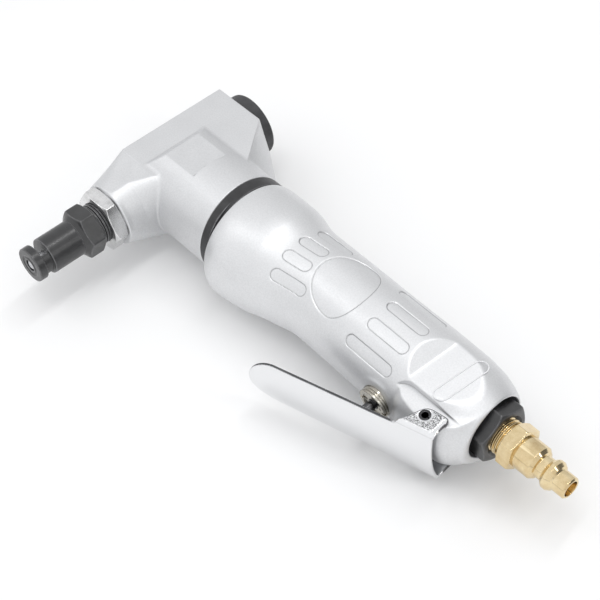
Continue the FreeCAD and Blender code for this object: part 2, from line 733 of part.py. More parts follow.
def throttle_lever():
    """Pressed sheet lever: arched blade, round tip and two cheeks for the pin."""
    full = lever_bar(LEVER_ARCH_R, -20.0, 90.0)
    hollow = lever_bar(LEVER_ARCH_R - LEVER_SHEET, -30.0, 100.0)
    blade = full.cut(hollow).common(lever_plan())
    pieces = [blade]
    for side in (1, -1):
        z = CHEEK_Z if side > 0 else -CHEEK_Z - LEVER_SHEET
        face = Part.Face(polygon_wire([Vector(x, y, z) for x, y in CHEEK_OUTLINE]))
        pieces.append(face.extrude(Vector(0, 0, LEVER_SHEET)).common(full))
    lever = fuse(pieces)
    return lever.cut(cylinder(LEVER_PIN_R + 0.06, -20, 20, "Z", LEVER_PIN))


def lever_pin():
    """Rolled spring pin: a tube with a slit along its length."""
    half = CHEEK_Z + LEVER_SHEET
    pin = tube(LEVER_PIN_R, 1.15, -half, half, "Z", LEVER_PIN)
    x, y = LEVER_PIN
    return pin.cut(box(x + 0.5, x + 3, y - 0.2, y + 0.2, -half - 1, half + 1))


def valve_bushing():
    """Screwed bush around the valve stem, with a slotted face."""
    face = BUSHING_FACE_Y
    profile = [(-8.2, 0), (-8.2, 5.6), (-8.8, 5.98), (face + 0.5, 5.98), (face, 5.5), (face, 0)]
    bush = turned(profile, "Y", (STEM_X, 0.0))
    bush = bush.cut(cylinder(STEM_R + 0.06, -30, 0, "Y", (STEM_X, 0.0)))
    bush = bush.cut(tube(3.3, 1.0, -13.2, -11.6, "Y", (STEM_X, 0.0)))
    dish = [(face - 1, 0), (face - 1, 4.2), (face + 0.7, 3.6), (face + 0.7, 0)]
    return bush.cut(turned(dish, "Y", (STEM_X, 0)))


def stem_seal():
    return Part.makeTorus(2.68, 0.6, Vector(STEM_X, -12.4, 0), AXIS["Y"])


def valve_stem():
    tip = STEM_TIP_Y
    profile = [(-4.6, 0), (-4.6, 1.4), (-5.2, STEM_R), (-20.5, STEM_R), (-20.5, 1.6), (-21.1, 1.6)]
    profile += [(-21.1, STEM_R), (tip + 1.0, STEM_R), (tip + 0.4, 1.6), (tip, 0.9), (tip, 0)]
    return turned(profile, "Y", (STEM_X, 0.0))


def throttle_valve():
    """Tilt valve: the stem pushes its long rod aside and it rocks on the round edge of its disc."""
    rod = cylinder(1.2, 119.5, 134.2)
    disc_r, spigot_r, face = 4.3, 1.9, 134.0
    x, y = VALVE_PIVOT
    back = face + 2 * ROCKER_R
    profile = [(face, 0), (face, disc_r), (back, disc_r)]
    profile += [(back, spigot_r), (138.2, spigot_r), (138.2, 0)]
    disc = turned(profile)
    disc = disc.cut(box(face - 1, face + 3, -6.0, y, -6.0, 6.0))
    half = math.sqrt(disc_r**2 - y**2)
    rocker = cylinder(ROCKER_R, -half, half, "Z", (x, y))
    return fuse([rod, disc, rocker])


def valve_seat():
    return tube(CHAMBER_R, 3.2, 131.4, 133.95)


def valve_spring():
    """Light compression spring holding the valve on its seat."""
    pitch, height, radius, wire = 2.0, 8.0, 3.2, 0.35
    helix = Part.makeHelix(pitch, height, radius)
    circle = Part.Wire([Part.Circle(Vector(radius, 0, 0), Vector(0, 1, 0), wire).toShape()])
    coil = Part.Wire(helix.Edges).makePipeShell([circle], True, True)
    coil = coil.rotated(ORIGIN, AXIS["Y"], 90)
    return coil.translated(Vector(136.5, 0, 0))


def inlet_bushing():
    """Black steel hexagon that carries the air plug and clamps the exhaust end."""
    spigot = cylinder(INLET_THREAD_R, 139.2, INLET_HEX_X[0] + 0.5)
    bar = hexagon(INLET_HEX_AF, *INLET_HEX_X, "X", 30.0, 1.0)
    body = fuse([spigot, bar])
    body = body.cut(cylinder(5.4, 138, 152.0))
    body = body.cut(cylinder(PLUG_THREAD_R + 0.05, 152.0, 170))
    end = INLET_HEX_X[1]
    return body.cut(cone(7.0, 8.0, end - 0.8, end + 0.2))


def inlet_seal():
    return tube(9.5, 8.45, 149.62, 150.18)


def inlet_screen():
    """Perforated strainer disc in the bushing's bore."""
    disc = cylinder(5.38, 146.8, 147.4)
    holes = []
    for ring_r, count in ((0.0, 1), (1.7, 6), (3.4, 12)):
        holes += ring_of(cylinder(0.5, 146, 148, "X", (ring_r, 0.0)), count)
    return disc.cut(Part.makeCompound(holes))


def hose_plug():
    """Quarter-inch industrial air plug with its threaded end in the bushing."""
    thread = cylinder(PLUG_THREAD_R, 154.0, 166.5)
    for x in (164.0, 165.2):
        thread = thread.cut(tube(8.0, PLUG_THREAD_R - 0.45, x, x + 0.6))
    bar = hexagon(PLUG_HEX_AF, *PLUG_HEX_X, "X", 12.0, 0.6)
    body = turned(
        [
            (171.5, 0),
            (171.5, PLUG_SHANK_R),
            (178.0, PLUG_SHANK_R),
            (179.2, 5.0),
            (179.5, 4.1),
            (182.0, 4.1),
            (182.5, 4.8),
            (183.4, 5.4),
            (184.7, 5.4),
            (185.9, 4.7),
            (186.5, PLUG_TIP_R),
            (PLUG_TIP_X - 0.5, PLUG_TIP_R),
            (PLUG_TIP_X, PLUG_TIP_R - 0.5),
            (PLUG_TIP_X, 0),
        ]
    )
    plug = fuse([thread, bar, body])
    return plug.cut(cylinder(PLUG_BORE_R, 150, 200))


# ---------------------------------------------------------------- assembly
HEAD_PARTS = {
    "head_housing": head_housing,
    "rear_cap": rear_cap,
    "cap_seal": cap_seal,
    "punch_guide": punch_guide,
    "ram": ram,
    "punch": punch,
    "punch_retainer": punch_retainer,
    "lock_nut": lock_nut,
    "die_holder": die_holder,
    "die": die,
    "crank_spindle": crank_spindle,
    "crank_roller": crank_roller,
    "planet_pins": planet_pins,
    "planet_gear_1": lambda: planet_gear(0),
    "planet_gear_2": lambda: planet_gear(1),
    "planet_gear_3": lambda: planet_gear(2),
    "spindle_bush": spindle_bush,
    "spindle_bearing_outer": lambda: spindle_race(outer=True),
    "spindle_bearing_inner": lambda: spindle_race(outer=False),
    "spindle_bearing_balls": lambda: bearing_balls(**SPINDLE_BEARING, count=9),
    "ring_gear": ring_gear,
    "rotor": rotor,
    "rotor_vanes": rotor_vanes,
}
HANDLE_PARTS = {
    "motor_front_plate": motor_front_plate,
    "motor_cylinder": motor_cylinder,
    "motor_rear_plate": motor_rear_plate,
    "cylinder_dowel": cylinder_dowel,
    "front_bearing_outer": lambda: motor_race(FRONT_BEARING, outer=True),
    "front_bearing_inner": lambda: motor_race(FRONT_BEARING, outer=False),
    "front_bearing_balls": lambda: bearing_balls(**FRONT_BEARING, count=8),
    "rear_bearing_outer": lambda: motor_race(REAR_BEARING, outer=True),
    "rear_bearing_inner": lambda: motor_race(REAR_BEARING, outer=False),
    "rear_bearing_balls": lambda: bearing_balls(**REAR_BEARING, count=8),
    "grip_housing": grip_housing,
    "throttle_lever": throttle_lever,
    "lever_pin": lever_pin,
    "valve_bushing": valve_bushing,
    "stem_seal": stem_seal,
    "valve_stem": valve_stem,
    "throttle_valve": throttle_valve,
    "valve_seat": valve_seat,
    "valve_spring": valve_spring,
    "inlet_bushing": inlet_bushing,
    "inlet_seal": inlet_seal,
    "inlet_screen": inlet_screen,
    "hose_plug": hose_plug,
}


def build_all():
    """Every piece in the tool's axes, the handle group already clocked."""
    shapes = {}
    for name, make in HEAD_PARTS.items():
        shapes[name] = make()
    for name, make in HANDLE_PARTS.items():
        shapes[name] = make()
    for name, shape in shapes.items():
        if isinstance(shape, list):
            shapes[name] = Part.makeCompound(shape)
    for name in HANDLE_PARTS:
        shapes[name] = shapes[name].rotated(ORIGIN, AXIS["X"], CLOCK_DEG)
    return shapes


def main():
    os.makedirs("parts", exist_ok=True)
    shapes = build_all()
    bound = Part.makeCompound(list(shapes.values())).optimalBoundingBox(False)
    shift = Vector(-(bound.XMin + bound.XMax) / 2, -(bound.YMin + bound.YMax) / 2, -bound.ZMin)
    for name, shape in shapes.items():
        placed = shape.translated(shift)
        for solid in placed.Solids:
            if not (solid.isValid() and solid.isClosed()):
                print("check the solid of", name)
        if not placed.Solids:
            print("no solid in", name)
        placed.exportStep(f"parts/{name}.step")
    print(f"pieces {len(shapes)}  size {bound.XLength:.2f} x {bound.YLength:.2f} x {bound.ZLength:.2f}")
    print(f"shift {shift.x:.4f} {shift.y:.4f} {shift.z:.4f}")


main()
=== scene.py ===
import json
import math
import bmesh
import bpy
import numpy as np
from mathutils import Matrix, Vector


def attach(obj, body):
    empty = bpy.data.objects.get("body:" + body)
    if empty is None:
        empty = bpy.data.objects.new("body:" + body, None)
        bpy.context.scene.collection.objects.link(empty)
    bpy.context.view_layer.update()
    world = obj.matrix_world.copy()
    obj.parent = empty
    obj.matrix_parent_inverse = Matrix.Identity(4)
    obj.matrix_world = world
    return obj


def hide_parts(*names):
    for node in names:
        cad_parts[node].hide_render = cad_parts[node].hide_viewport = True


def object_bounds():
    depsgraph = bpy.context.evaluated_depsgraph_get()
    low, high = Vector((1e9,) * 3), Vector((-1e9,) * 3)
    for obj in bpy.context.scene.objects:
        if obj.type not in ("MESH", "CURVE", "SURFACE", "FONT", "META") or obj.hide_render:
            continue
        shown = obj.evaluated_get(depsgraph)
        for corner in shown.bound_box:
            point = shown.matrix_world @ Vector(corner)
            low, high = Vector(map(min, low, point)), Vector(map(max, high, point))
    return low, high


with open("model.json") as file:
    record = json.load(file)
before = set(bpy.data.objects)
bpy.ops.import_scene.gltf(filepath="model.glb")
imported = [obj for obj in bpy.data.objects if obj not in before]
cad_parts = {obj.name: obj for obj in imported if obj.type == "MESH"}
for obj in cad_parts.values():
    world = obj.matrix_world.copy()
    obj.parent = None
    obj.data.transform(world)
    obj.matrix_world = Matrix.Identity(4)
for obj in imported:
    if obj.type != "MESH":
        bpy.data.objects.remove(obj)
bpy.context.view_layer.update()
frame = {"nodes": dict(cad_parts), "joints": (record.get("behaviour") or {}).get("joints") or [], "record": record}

import openvdb
from mathutils import Matrix, Vector

# Lengths below are millimetres in the tool's own axes: +X along the grip from the head, -Y towards the
# die and the lever, +Z up, zero where the punch's axis crosses the grip's. "Handle" axes are the same
# but turned about +X by the clocking of the grip against the head.
JOINTS = {j["name"]: j for j in frame["joints"]}
AXIS_AT = JOINTS["rotor_spin"]["pos_m"]
TOOL_ORIGIN = np.array([JOINTS["die_swivel"]["pos_m"][0], AXIS_AT[1], AXIS_AT[2]])
LEVER_AXIS = JOINTS["lever_squeeze"]["axis"]
CLOCK = math.atan2(LEVER_AXIS[1], -LEVER_AXIS[2])
COS_C, SIN_C = math.cos(CLOCK), math.sin(CLOCK)
MM = 0.001

# Driving dimensions
BLOCK_HALF, BLOCK_BACK_Y = 13.8, 31.1
NOSE_FACE_Y, NOSE_R = -31.4, 12.0
BARREL_R, HEAD_END_X = 19.3, 36.2
CAP_R, CAP_FACE_Y = 12.3, 37.2
NUT_HEX, NUT_FACE_Y = 21.0, -36.7
HOLDER_HEX, HOLDER_HEX_Y = 17.0, (-46.0, -39.4)
DIE_R, DIE_SHOULDER_Y, DIE_FACE_Y = 6.85, -47.4, -66.6
GRIP_START_X, GRIP_END_X = 41.25, 159.6
FACET_X, FACET_Z = 134.0, 14.5
PAD_ARC_R, PAD_HALF = 17.7, 2.35
VALVE_X, PIN_X, PIN_Y = 124.5, 145.9, -16.9
INLET_HEX, INLET_HEX_X = 19.0, (150.2, 163.7)
PLUG_HEX, PLUG_HEX_X = 14.3, (166.3, 171.7)


def tool_to_part(p):
    return p * MM + TOOL_ORIGIN


def handle_to_tool(p):
    x, y, z = p[:, 0], p[:, 1], p[:, 2]
    return np.stack([x, y * COS_C - z * SIN_C, y * SIN_C + z * COS_C], axis=1)


def place(p, handle):
    return tool_to_part(handle_to_tool(p) if handle else p)


# ------------------------------------------------------------------ distance-field modelling
def smax(a, b, k):
    """Larger of two distances, rounded over about k: an intersection or a cut with a soft edge."""
    h = np.maximum(k - np.abs(a - b), 0.0) / k
    return np.maximum(a, b) + h * h * k * 0.25


def smin(a, b, k):
    return -smax(-a, -b, k)


def smooth(t):
    t = np.clip(t, 0.0, 1.0)
    return t * t * (3.0 - 2.0 * t)


def slab(v, low, high):
    return np.maximum(low - v, v - high)


def rod(u, v, radius, cu=0.0, cv=0.0):
    return np.sqrt((u - cu) ** 2 + (v - cv) ** 2) - radius


def hex_bar(u, v, across_flats, turn_deg=0.0, soft=0.3):
    d = None
    for k in range(3):
        t = math.radians(turn_deg + 30.0 + 60.0 * k)
        w = np.abs(u * math.cos(t) + v * math.sin(t))
        d = w if d is None else smax(d, w, soft)
    return d - across_flats / 2


def corner_trim(r, p, low, high, radius, axial, rise):
    """Cones that trim a bar's corners: radius at each end face, growing by rise over the axial length."""
    m = rise / axial
    inward = np.minimum(p - low, high - p)
    return (r - radius - inward * m) / math.sqrt(1 + m * m)


def convex(u, v, points, soft=0.4):
    """Distance to a convex outline."""
    d = None
    if sum(a[0] * b[1] - b[0] * a[1] for a, b in zip(points, points[1:] + points[:1])) < 0:
        points = points[::-1]
    for (u0, v0), (u1, v1) in zip(points, points[1:] + points[:1]):
        length = math.hypot(u1 - u0, v1 - v0)
        side = ((u - u0) * (v1 - v0) - (v - v0) * (u1 - u0)) / length
        d = side if d is None else smax(d, side, soft)
    return d


def obround(u, v, half_u, half_v, corner=None):
    """Distance to a rounded bar outline centred on zero."""
    r = min(half_u, half_v) if corner is None else corner
    qu = np.maximum(np.abs(u) - (half_u - r), 0.0)
    qv = np.maximum(np.abs(v) - (half_v - r), 0.0)
    inner = np.minimum(np.maximum(np.abs(u) - half_u + r, np.abs(v) - half_v + r), 0.0)
    return np.sqrt(qu * qu + qv * qv) + inner - r


def curve(stations, column, x):
    """Smooth interpolation of one column of the stations at x."""
    xs = np.array([s[0] for s in stations], float)
    ys = np.array([s[column] for s in stations], float)
    slopes = np.gradient(ys, xs)
    x = np.clip(x, xs[0], xs[-1])
    i = np.clip(np.searchsorted(xs, x, side="right") - 1, 0, len(xs) - 2)
    h = xs[i + 1] - xs[i]
    t = (x - xs[i]) / h
    a = (1 + 2 * t) * (1 - t) ** 2
    b = t * (1 - t) ** 2
    c = t * t * (3 - 2 * t)
    e = t * t * (t - 1)
    return a * ys[i] + b * h * slopes[i] + c * ys[i + 1] + e * h * slopes[i + 1]


def gradient(field, p, h=0.03):
    parts = []
    for axis in range(3):
        step = np.zeros(3)
        step[axis] = h
        up, down = p + step, p - step
        rise = field(up[:, 0], up[:, 1], up[:, 2]) - field(down[:, 0], down[:, 1], down[:, 2])
        parts.append(rise / (2 * h))
    return np.stack(parts, axis=1)


def bend(field, x, y, z, reach=0.32):
    """How sharply the surface turns: positive on outside edges, negative in creases."""
    total = -6.0 * field(x, y, z)
    for dx, dy, dz in ((reach, 0, 0), (0, reach, 0), (0, 0, reach)):
        total = total + field(x + dx, y + dy, z + dz) + field(x - dx, y - dy, z - dz)
    return total / reach


# 'hollow' feeds painted shade in the creases of the cast metal; 'ridge' feeds lighter edges, part wear and part
# painted highlight.
def crease_masks(field):
    return {
        "hollow": lambda x, y, z: -0.12 - bend(field, x, y, z),
        "ridge": lambda x, y, z: (bend(field, x, y, z) - 0.25) * 0.7,
    }


def new_object(name, vertices, quads, normals):
    """Smooth mesh object from arrays of corners, four-sided faces and corner normals."""
    mesh = bpy.data.meshes.new(name)
    mesh.vertices.add(len(vertices))
    mesh.vertices.foreach_set("co", np.asarray(vertices, np.float32).ravel())
    mesh.loops.add(quads.size)
    mesh.loops.foreach_set("vertex_index", quads.ravel().astype(np.int32))
    mesh.polygons.add(len(quads))
    mesh.polygons.foreach_set("loop_start", np.arange(0, quads.size, 4, dtype=np.int32))
    mesh.update(calc_edges=True)
    mesh.validate()
    mesh.shade_smooth()
    mesh.normals_split_custom_set_from_vertices(normals.astype(float).tolist())
    obj = bpy.data.objects.new(name, mesh)
    bpy.context.scene.collection.objects.link(obj)
    return obj


def sampled(field, low, count, voxel, limit):
    """Field values on a grid, worked out only in the blocks that the surface crosses."""
    side = 6
    blocks = -(-count // side)
    centre = [low[i] + voxel * (side * np.arange(blocks[i]) + (side - 1) / 2) for i in range(3)]
    x, y, z = (c.reshape(s) for c, s in zip(centre, ((-1, 1, 1), (1, -1, 1), (1, 1, -1))))
    middle = np.broadcast_to(field(x, y, z), tuple(blocks))
    values = np.where(middle > 0, limit, -limit).astype(np.float32)
    values = values.repeat(side, 0).repeat(side, 1).repeat(side, 2)
    near = np.argwhere(np.abs(middle) < side * voxel * 1.25 + voxel)
    inner = np.stack(np.meshgrid(*[np.arange(side)] * 3, indexing="ij"), -1).reshape(-1, 3)
    for part in np.array_split(near, max(1, len(near) // 6000)):
        index = (part[:, None, :] * side + inner[None]).reshape(-1, 3)
        p = low + index * voxel
        d = field(p[:, 0], p[:, 1], p[:, 2])
        values[index[:, 0], index[:, 1], index[:, 2]] = np.clip(d, -limit, limit)
    return np.ascontiguousarray(values)


def field_piece(name, field, low, high, voxel, handle=False, masks=None):
    """Mesh the zero surface of a distance field, pulled exactly onto it, with its own normals."""
    low, high = np.array(low, float), np.array(high, float)
    count = np.ceil((high - low) / voxel).astype(int) + 1
    limit = 3.0 * voxel
    grid = openvdb.FloatGrid(background=limit)
    grid.copyFromArray(sampled(field, low, count, voxel, limit))
    points, quads = grid.convertToQuads(isovalue=0.0)
    p = low + points.astype(float) * voxel
    for _ in range(3):
        g = gradient(field, p)
        size = np.maximum((g * g).sum(1), 0.05)
        step = np.clip(field(p[:, 0], p[:, 1], p[:, 2]), -voxel, voxel) / size
        p = p - np.clip(step[:, None] * g, -0.6 * voxel, 0.6 * voxel)
    g = gradient(field, p)
    normals = g / np.maximum(np.linalg.norm(g, axis=1), 1e-9)[:, None]
    a, b, c = p[quads[:, 0]], p[quads[:, 1]], p[quads[:, 2]]
    facing = (np.cross(b - a, c - a) * normals[quads[:, 0]]).sum(1)
    turn = -1 if np.median(facing) < 0 else 1
    if handle:
        normals = handle_to_tool(normals)
    obj = new_object(name, place(p, handle), quads[:, ::turn], normals)
    for key, mask in (masks or {}).items():
        values = np.clip(mask(p[:, 0], p[:, 1], p[:, 2]), 0.0, 1.0)
        layer = obj.data.attributes.new(key, "FLOAT", "POINT")
        layer.data.foreach_set("value", values.astype(np.float32))
    return obj


# ------------------------------------------------------------------ turned pieces
def rounded_profile(points, soft, arc_steps=4):
    """Outline with a small arc at each corner: positions and outward normals."""
    n = len(points)
    pts = [np.array(q, float) for q in points]
    out = []
    for i in range(n):
        a, b, c = pts[i - 1], pts[i], pts[(i + 1) % n]
        u, v = a - b, c - b
        lu, lv = np.linalg.norm(u), np.linalg.norm(v)
        u, v = u / lu, v / lv
        n0 = np.array([-u[1], u[0]])
        n1 = np.array([v[1], -v[0]])
        if b[1] < 1e-6 or (n0 @ n1) > 0.9999:
            out.append((b, n0))
            out.append((b, n1))
            continue
        half = 0.5 * math.acos(max(-1.0, min(1.0, float(u @ v))))
        cut = min(soft / math.tan(half), 0.4 * lu, 0.4 * lv)
        start, end = b + u * cut, b + v * cut
        for k in range(arc_steps + 1):
            t = k / arc_steps
            q = (1 - t) ** 2 * start + 2 * t * (1 - t) * b + t * t * end
            m = (1 - t) * n0 + t * n1
            out.append((q, m / max(np.linalg.norm(m), 1e-6)))
    return out


def turned(name, points, axis="X", at=(0.0, 0.0), soft=0.12, segments=96, handle=False):
    """Lathe an outline of (position, radius) points about an axis; the outline runs clockwise."""
    area = sum(a[0] * b[1] - b[0] * a[1] for a, b in zip(points, points[1:] + points[:1]))
    ring = rounded_profile(points if area < 0 else points[::-1], soft)
    angles = np.arange(segments) * 2 * math.pi / segments
    c, s = np.cos(angles), np.sin(angles)
    q = np.array([r[0] for r in ring])
    m = np.array([r[1] for r in ring])
    pos = np.repeat(q[:, :1], segments, 1)
    u, v = q[:, 1:] * c + at[0], q[:, 1:] * s + at[1]
    npos = np.repeat(m[:, :1], segments, 1)
    nu, nv = m[:, 1:] * c, m[:, 1:] * s
    order = (pos, u, v) if axis == "X" else (u, pos, v)
    norder = (npos, nu, nv) if axis == "X" else (nu, npos, nv)
    p = np.stack([w.ravel() for w in order], 1)
    nrm = np.stack([w.ravel() for w in norder], 1)
    faces = []
    rows = len(ring)
    k = np.arange(segments)
    k2 = (k + 1) % segments
    for i in range(rows):
        j = (i + 1) % rows
        if np.linalg.norm(q[i] - q[j]) < 1e-9 or (q[i][1] < 1e-9 and q[j][1] < 1e-9):
            continue
        here, there = i * segments, j * segments
        faces.append(np.stack([here + k, here + k2, there + k2, there + k], 1))
    faces = np.concatenate(faces)
    a, b, d = p[faces[:, 0]], p[faces[:, 1]], p[faces[:, 2]]
    facing = (np.cross(b - a, d - a) * nrm[faces[:, 0]]).sum(1)
    if facing.sum() < 0:
        faces = faces[:, ::-1]
    if handle:
        nrm = handle_to_tool(nrm)
    return weld(new_object(name, place(p, handle), faces, nrm), nrm)


def weld(obj, normals):
    """Join the doubled points of a lathe without losing its normals."""
    bm = bmesh.new()
    bm.from_mesh(obj.data)
    keep = bm.verts.layers.float_vector.new("lathe_normal")
    bm.verts.ensure_lookup_table()
    for vert, n in zip(bm.verts, normals):
        vert[keep] = Vector(n)
    bmesh.ops.remove_doubles(bm, verts=bm.verts, dist=1e-7)
    bmesh.ops.dissolve_degenerate(bm, dist=1e-8, edges=bm.edges)
    stored = [v[keep].copy() for v in bm.verts]
    bm.verts.layers.float_vector.remove(keep)
    bm.to_mesh(obj.data)
    bm.free()
    obj.data.shade_smooth()
    obj.data.normals_split_custom_set_from_vertices([tuple(n.normalized()) for n in stored])
    return obj


# ------------------------------------------------------------------ materials
def nodes_of(material):
    material.use_nodes = True
    tree = material.node_tree
    tree.nodes.clear()
    out = tree.nodes.new("ShaderNodeOutputMaterial")
    shader = tree.nodes.new("ShaderNodeBsdfPrincipled")
    tree.links.new(shader.outputs["BSDF"], out.inputs["Surface"])
    return tree, shader


class Kit:
    """Short names for the node patterns that the materials share."""

    def __init__(self, name):
        self.material = bpy.data.materials.new(name)
        self.tree, self.shader = nodes_of(self.material)
        self.place = self.tree.nodes.new("ShaderNodeTexCoord").outputs["Object"]

    def link(self, a, b):
        self.tree.links.new(a, b)

    def distance(self):
        node = self.tree.nodes.new("ShaderNodeVectorMath")
        node.operation = "LENGTH"
        self.link(self.place, node.inputs[0])
        return node.outputs["Value"]

    def noise(self, scale, detail=3.0, rough=0.55, stretch=None):
        node = self.tree.nodes.new("ShaderNodeTexNoise")
        node.inputs["Scale"].default_value = scale
        node.inputs["Detail"].default_value = detail
        node.inputs["Roughness"].default_value = rough
        source = self.place
        if stretch is not None:
            mapping = self.tree.nodes.new("ShaderNodeMapping")
            mapping.inputs["Scale"].default_value = stretch
            self.link(self.place, mapping.inputs["Vector"])
            source = mapping.outputs["Vector"]
        self.link(source, node.inputs["Vector"])
        return node.outputs["Fac"]

    def cells(self, scale):
        node = self.tree.nodes.new("ShaderNodeTexVoronoi")
        node.inputs["Scale"].default_value = scale
        self.link(self.place, node.inputs["Vector"])
        return node.outputs["Distance"]

    def ramp(self, value, low, high, out_low, out_high):
        node = self.tree.nodes.new("ShaderNodeMapRange")
        node.inputs["From Min"].default_value = low
        node.inputs["From Max"].default_value = high
        node.inputs["To Min"].default_value = out_low
        node.inputs["To Max"].default_value = out_high
        self.link(value, node.inputs["Value"])
        return node.outputs["Result"]

    def math(self, kind, a, b):
        node = self.tree.nodes.new("ShaderNodeMath")
        node.operation = kind
        for socket, value in zip(node.inputs, (a, b)):
            if isinstance(value, (int, float)):
                socket.default_value = value
            else:
                self.link(value, socket)
        return node.outputs["Value"]

    def mix(self, fac, a, b):
        node = self.tree.nodes.new("ShaderNodeMix")
        node.data_type = "RGBA"
        for socket, value in zip((node.inputs[6], node.inputs[7]), (a, b)):
            if isinstance(value, tuple):
                socket.default_value = (*value, 1.0)
            else:
                self.link(value, socket)
        if isinstance(fac, (int, float)):
            node.inputs[0].default_value = fac
        else:
            self.link(fac, node.inputs[0])
        return node.outputs[2]

    def bump(self, height, strength, distance, under=None):
        node = self.tree.nodes.new("ShaderNodeBump")
        node.inputs["Strength"].default_value = strength
        node.inputs["Distance"].default_value = distance
        self.link(height, node.inputs["Height"])
        if under is not None:
            self.link(under, node.inputs["Normal"])
        return node.outputs["Normal"]

    def edge(self, low, high):
        node = self.tree.nodes.new("ShaderNodeNewGeometry")
        return self.ramp(node.outputs["Pointiness"], low, high, 0.0, 1.0)

    def attribute(self, name):
        node = self.tree.nodes.new("ShaderNodeAttribute")
        node.attribute_name = name
        return node.outputs["Fac"]

    def set(self, name, value):
        socket = self.shader.inputs[name]
        if isinstance(value, tuple):
            socket.default_value = (*value, 1.0)
        elif isinstance(value, (int, float)):
            socket.default_value = value
        else:
            self.link(value, socket)


def cast_aluminium(name, light, dark, rough):
    """Bead-blasted casting: fine grain, faint cloudy tone; edges painted lighter, partly polish and partly painted
    highlight; creases painted darker as painted shade.
    """
    k = Kit(name)
    cloud = k.noise(90.0, 3.0)
    grain = k.noise(1900.0, 4.0, 0.7)
    tone = k.mix(k.ramp(cloud, 0.35, 0.65, 0.0, 1.0), dark, light)
    speck = k.mix(k.ramp(grain, 0.35, 0.7, 0.0, 0.5), tone, tuple(0.82 * c for c in dark))
    bright = tuple(min(1.0, 1.15 * c) for c in light)
    # edges ('ridge') painted lighter: partly polished wear, partly a painted highlight along chamfers
    polish_and_sheen = k.mix(k.math("MULTIPLY", k.attribute("ridge"), 0.3), speck, bright)
    # painted shade: creases ('hollow') are darkened in the colour, standing in for the shade that falls in them
    painted_crease_shade = k.math("MULTIPLY", k.attribute("hollow"), 0.75)
    k.set("Base Color", k.mix(painted_crease_shade, polish_and_sheen, tuple(0.3 * c for c in dark)))
    k.set("Metallic", 0.78)
    k.set("Roughness", k.ramp(grain, 0.3, 0.7, rough - 0.05, rough + 0.07))
    fine = k.bump(grain, 0.35, 0.00005)
    k.set("Normal", k.bump(cloud, 0.08, 0.0003, fine))
    return k.material


def turned_metal(name, light, dark, rough, stain=0.0, stain_tint=None):
    """Machined metal: fine unevenness, soft blotches, brighter edges, and stains where asked for."""
    k = Kit(name)
    blotch = k.noise(220.0, 4.0, 0.6)
    fine = k.noise(1500.0, 3.0, 0.6)
    tone = k.mix(k.ramp(blotch, 0.3, 0.7, 0.0, 1.0), dark, light)
    if stain:
        tone = k.mix(k.ramp(k.noise(700.0, 5.0, 0.7), 0.5, 0.75, 0.0, stain), tone, stain_tint)
    bright = tuple(min(1.0, 1.15 * c + 0.02) for c in light)
    k.set("Base Color", k.mix(k.edge(0.52, 0.62), tone, bright))
    k.set("Metallic", 1.0)
    k.set("Roughness", k.ramp(blotch, 0.25, 0.75, rough - 0.05, rough + 0.07))
    k.set("Normal", k.bump(fine, 0.25, 0.00001))
    return k.material


def black_oxide(name, rough, base=0.022, rub_and_glint=0.12, gloss=0.4):
    """Blackened steel: oily satin black; edges painted grey, partly rubbed wear and partly painted highlight along
    the chamfers.
    """
    k = Kit(name)
    blotch = k.noise(260.0, 4.0, 0.6)
    scuff = k.noise(1400.0, 4.0, 0.7)
    grey = (base * 1.8, base * 1.8, base * 1.9)
    tone = k.mix(k.ramp(blotch, 0.3, 0.7, 0.0, 1.0), (base, base, base * 1.05), grey)
    # edges ('ridge', broken up by scuffs) painted grey: part rubbed wear, part painted highlight
    edge = k.math("MULTIPLY", k.attribute("ridge"), k.ramp(scuff, 0.35, 0.6, 0.35, 1.0))
    k.set("Base Color", k.mix(edge, tone, (rub_and_glint, rub_and_glint, rub_and_glint * 1.03)))
    k.set("Roughness", k.ramp(scuff, 0.3, 0.7, rough - 0.04, rough + 0.06))
    k.set("Specular IOR Level", gloss)
    k.set("Normal", k.bump(scuff, 0.04, 0.00001))
    return k.material


def chrome(name):
    """Bright plating: dark cut edges where 'rim' says so, and a rough panel where 'pitted' does."""
    k = Kit(name)
    mask = k.attribute("pitted")
    lines = k.noise(900.0, 3.0, 0.6, stretch=(0.12, 1.0, 1.0))
    pits = k.cells(2400.0)
    crust = k.noise(3100.0, 2.0, 0.6)
    rub = k.ramp(crust, 0.42, 0.56, 0.0, 1.0)
    pit_tone = k.mix(rub, (0.05, 0.05, 0.052), (0.74, 0.745, 0.755))
    plate = k.mix(k.attribute("rim"), (0.82, 0.825, 0.835), (0.10, 0.10, 0.105))
    k.set("Base Color", k.mix(mask, plate, pit_tone))
    k.set("Metallic", 1.0)
    plain = k.ramp(lines, 0.3, 0.7, 0.16, 0.24)
    k.set("Roughness", k.math("ADD", plain, k.math("MULTIPLY", mask, 0.25)))
    height = k.math("MULTIPLY", mask, pits)
    k.set("Normal", k.bump(height, 0.8, 0.00012, k.bump(lines, 0.05, 0.00001)))
    return k.material


def plain_rubber(name, tone):
    """Matt moulded surface, also used for the vanes' composite."""
    k = Kit(name)
    grain = k.noise(1800.0, 3.0)
    k.set("Base Color", k.mix(grain, tone, tuple(1.6 * c for c in tone)))
    k.set("Roughness", k.ramp(grain, 0.3, 0.7, 0.55, 0.75))
    k.set("Normal", k.bump(grain, 0.2, 0.00003))
    return k.material


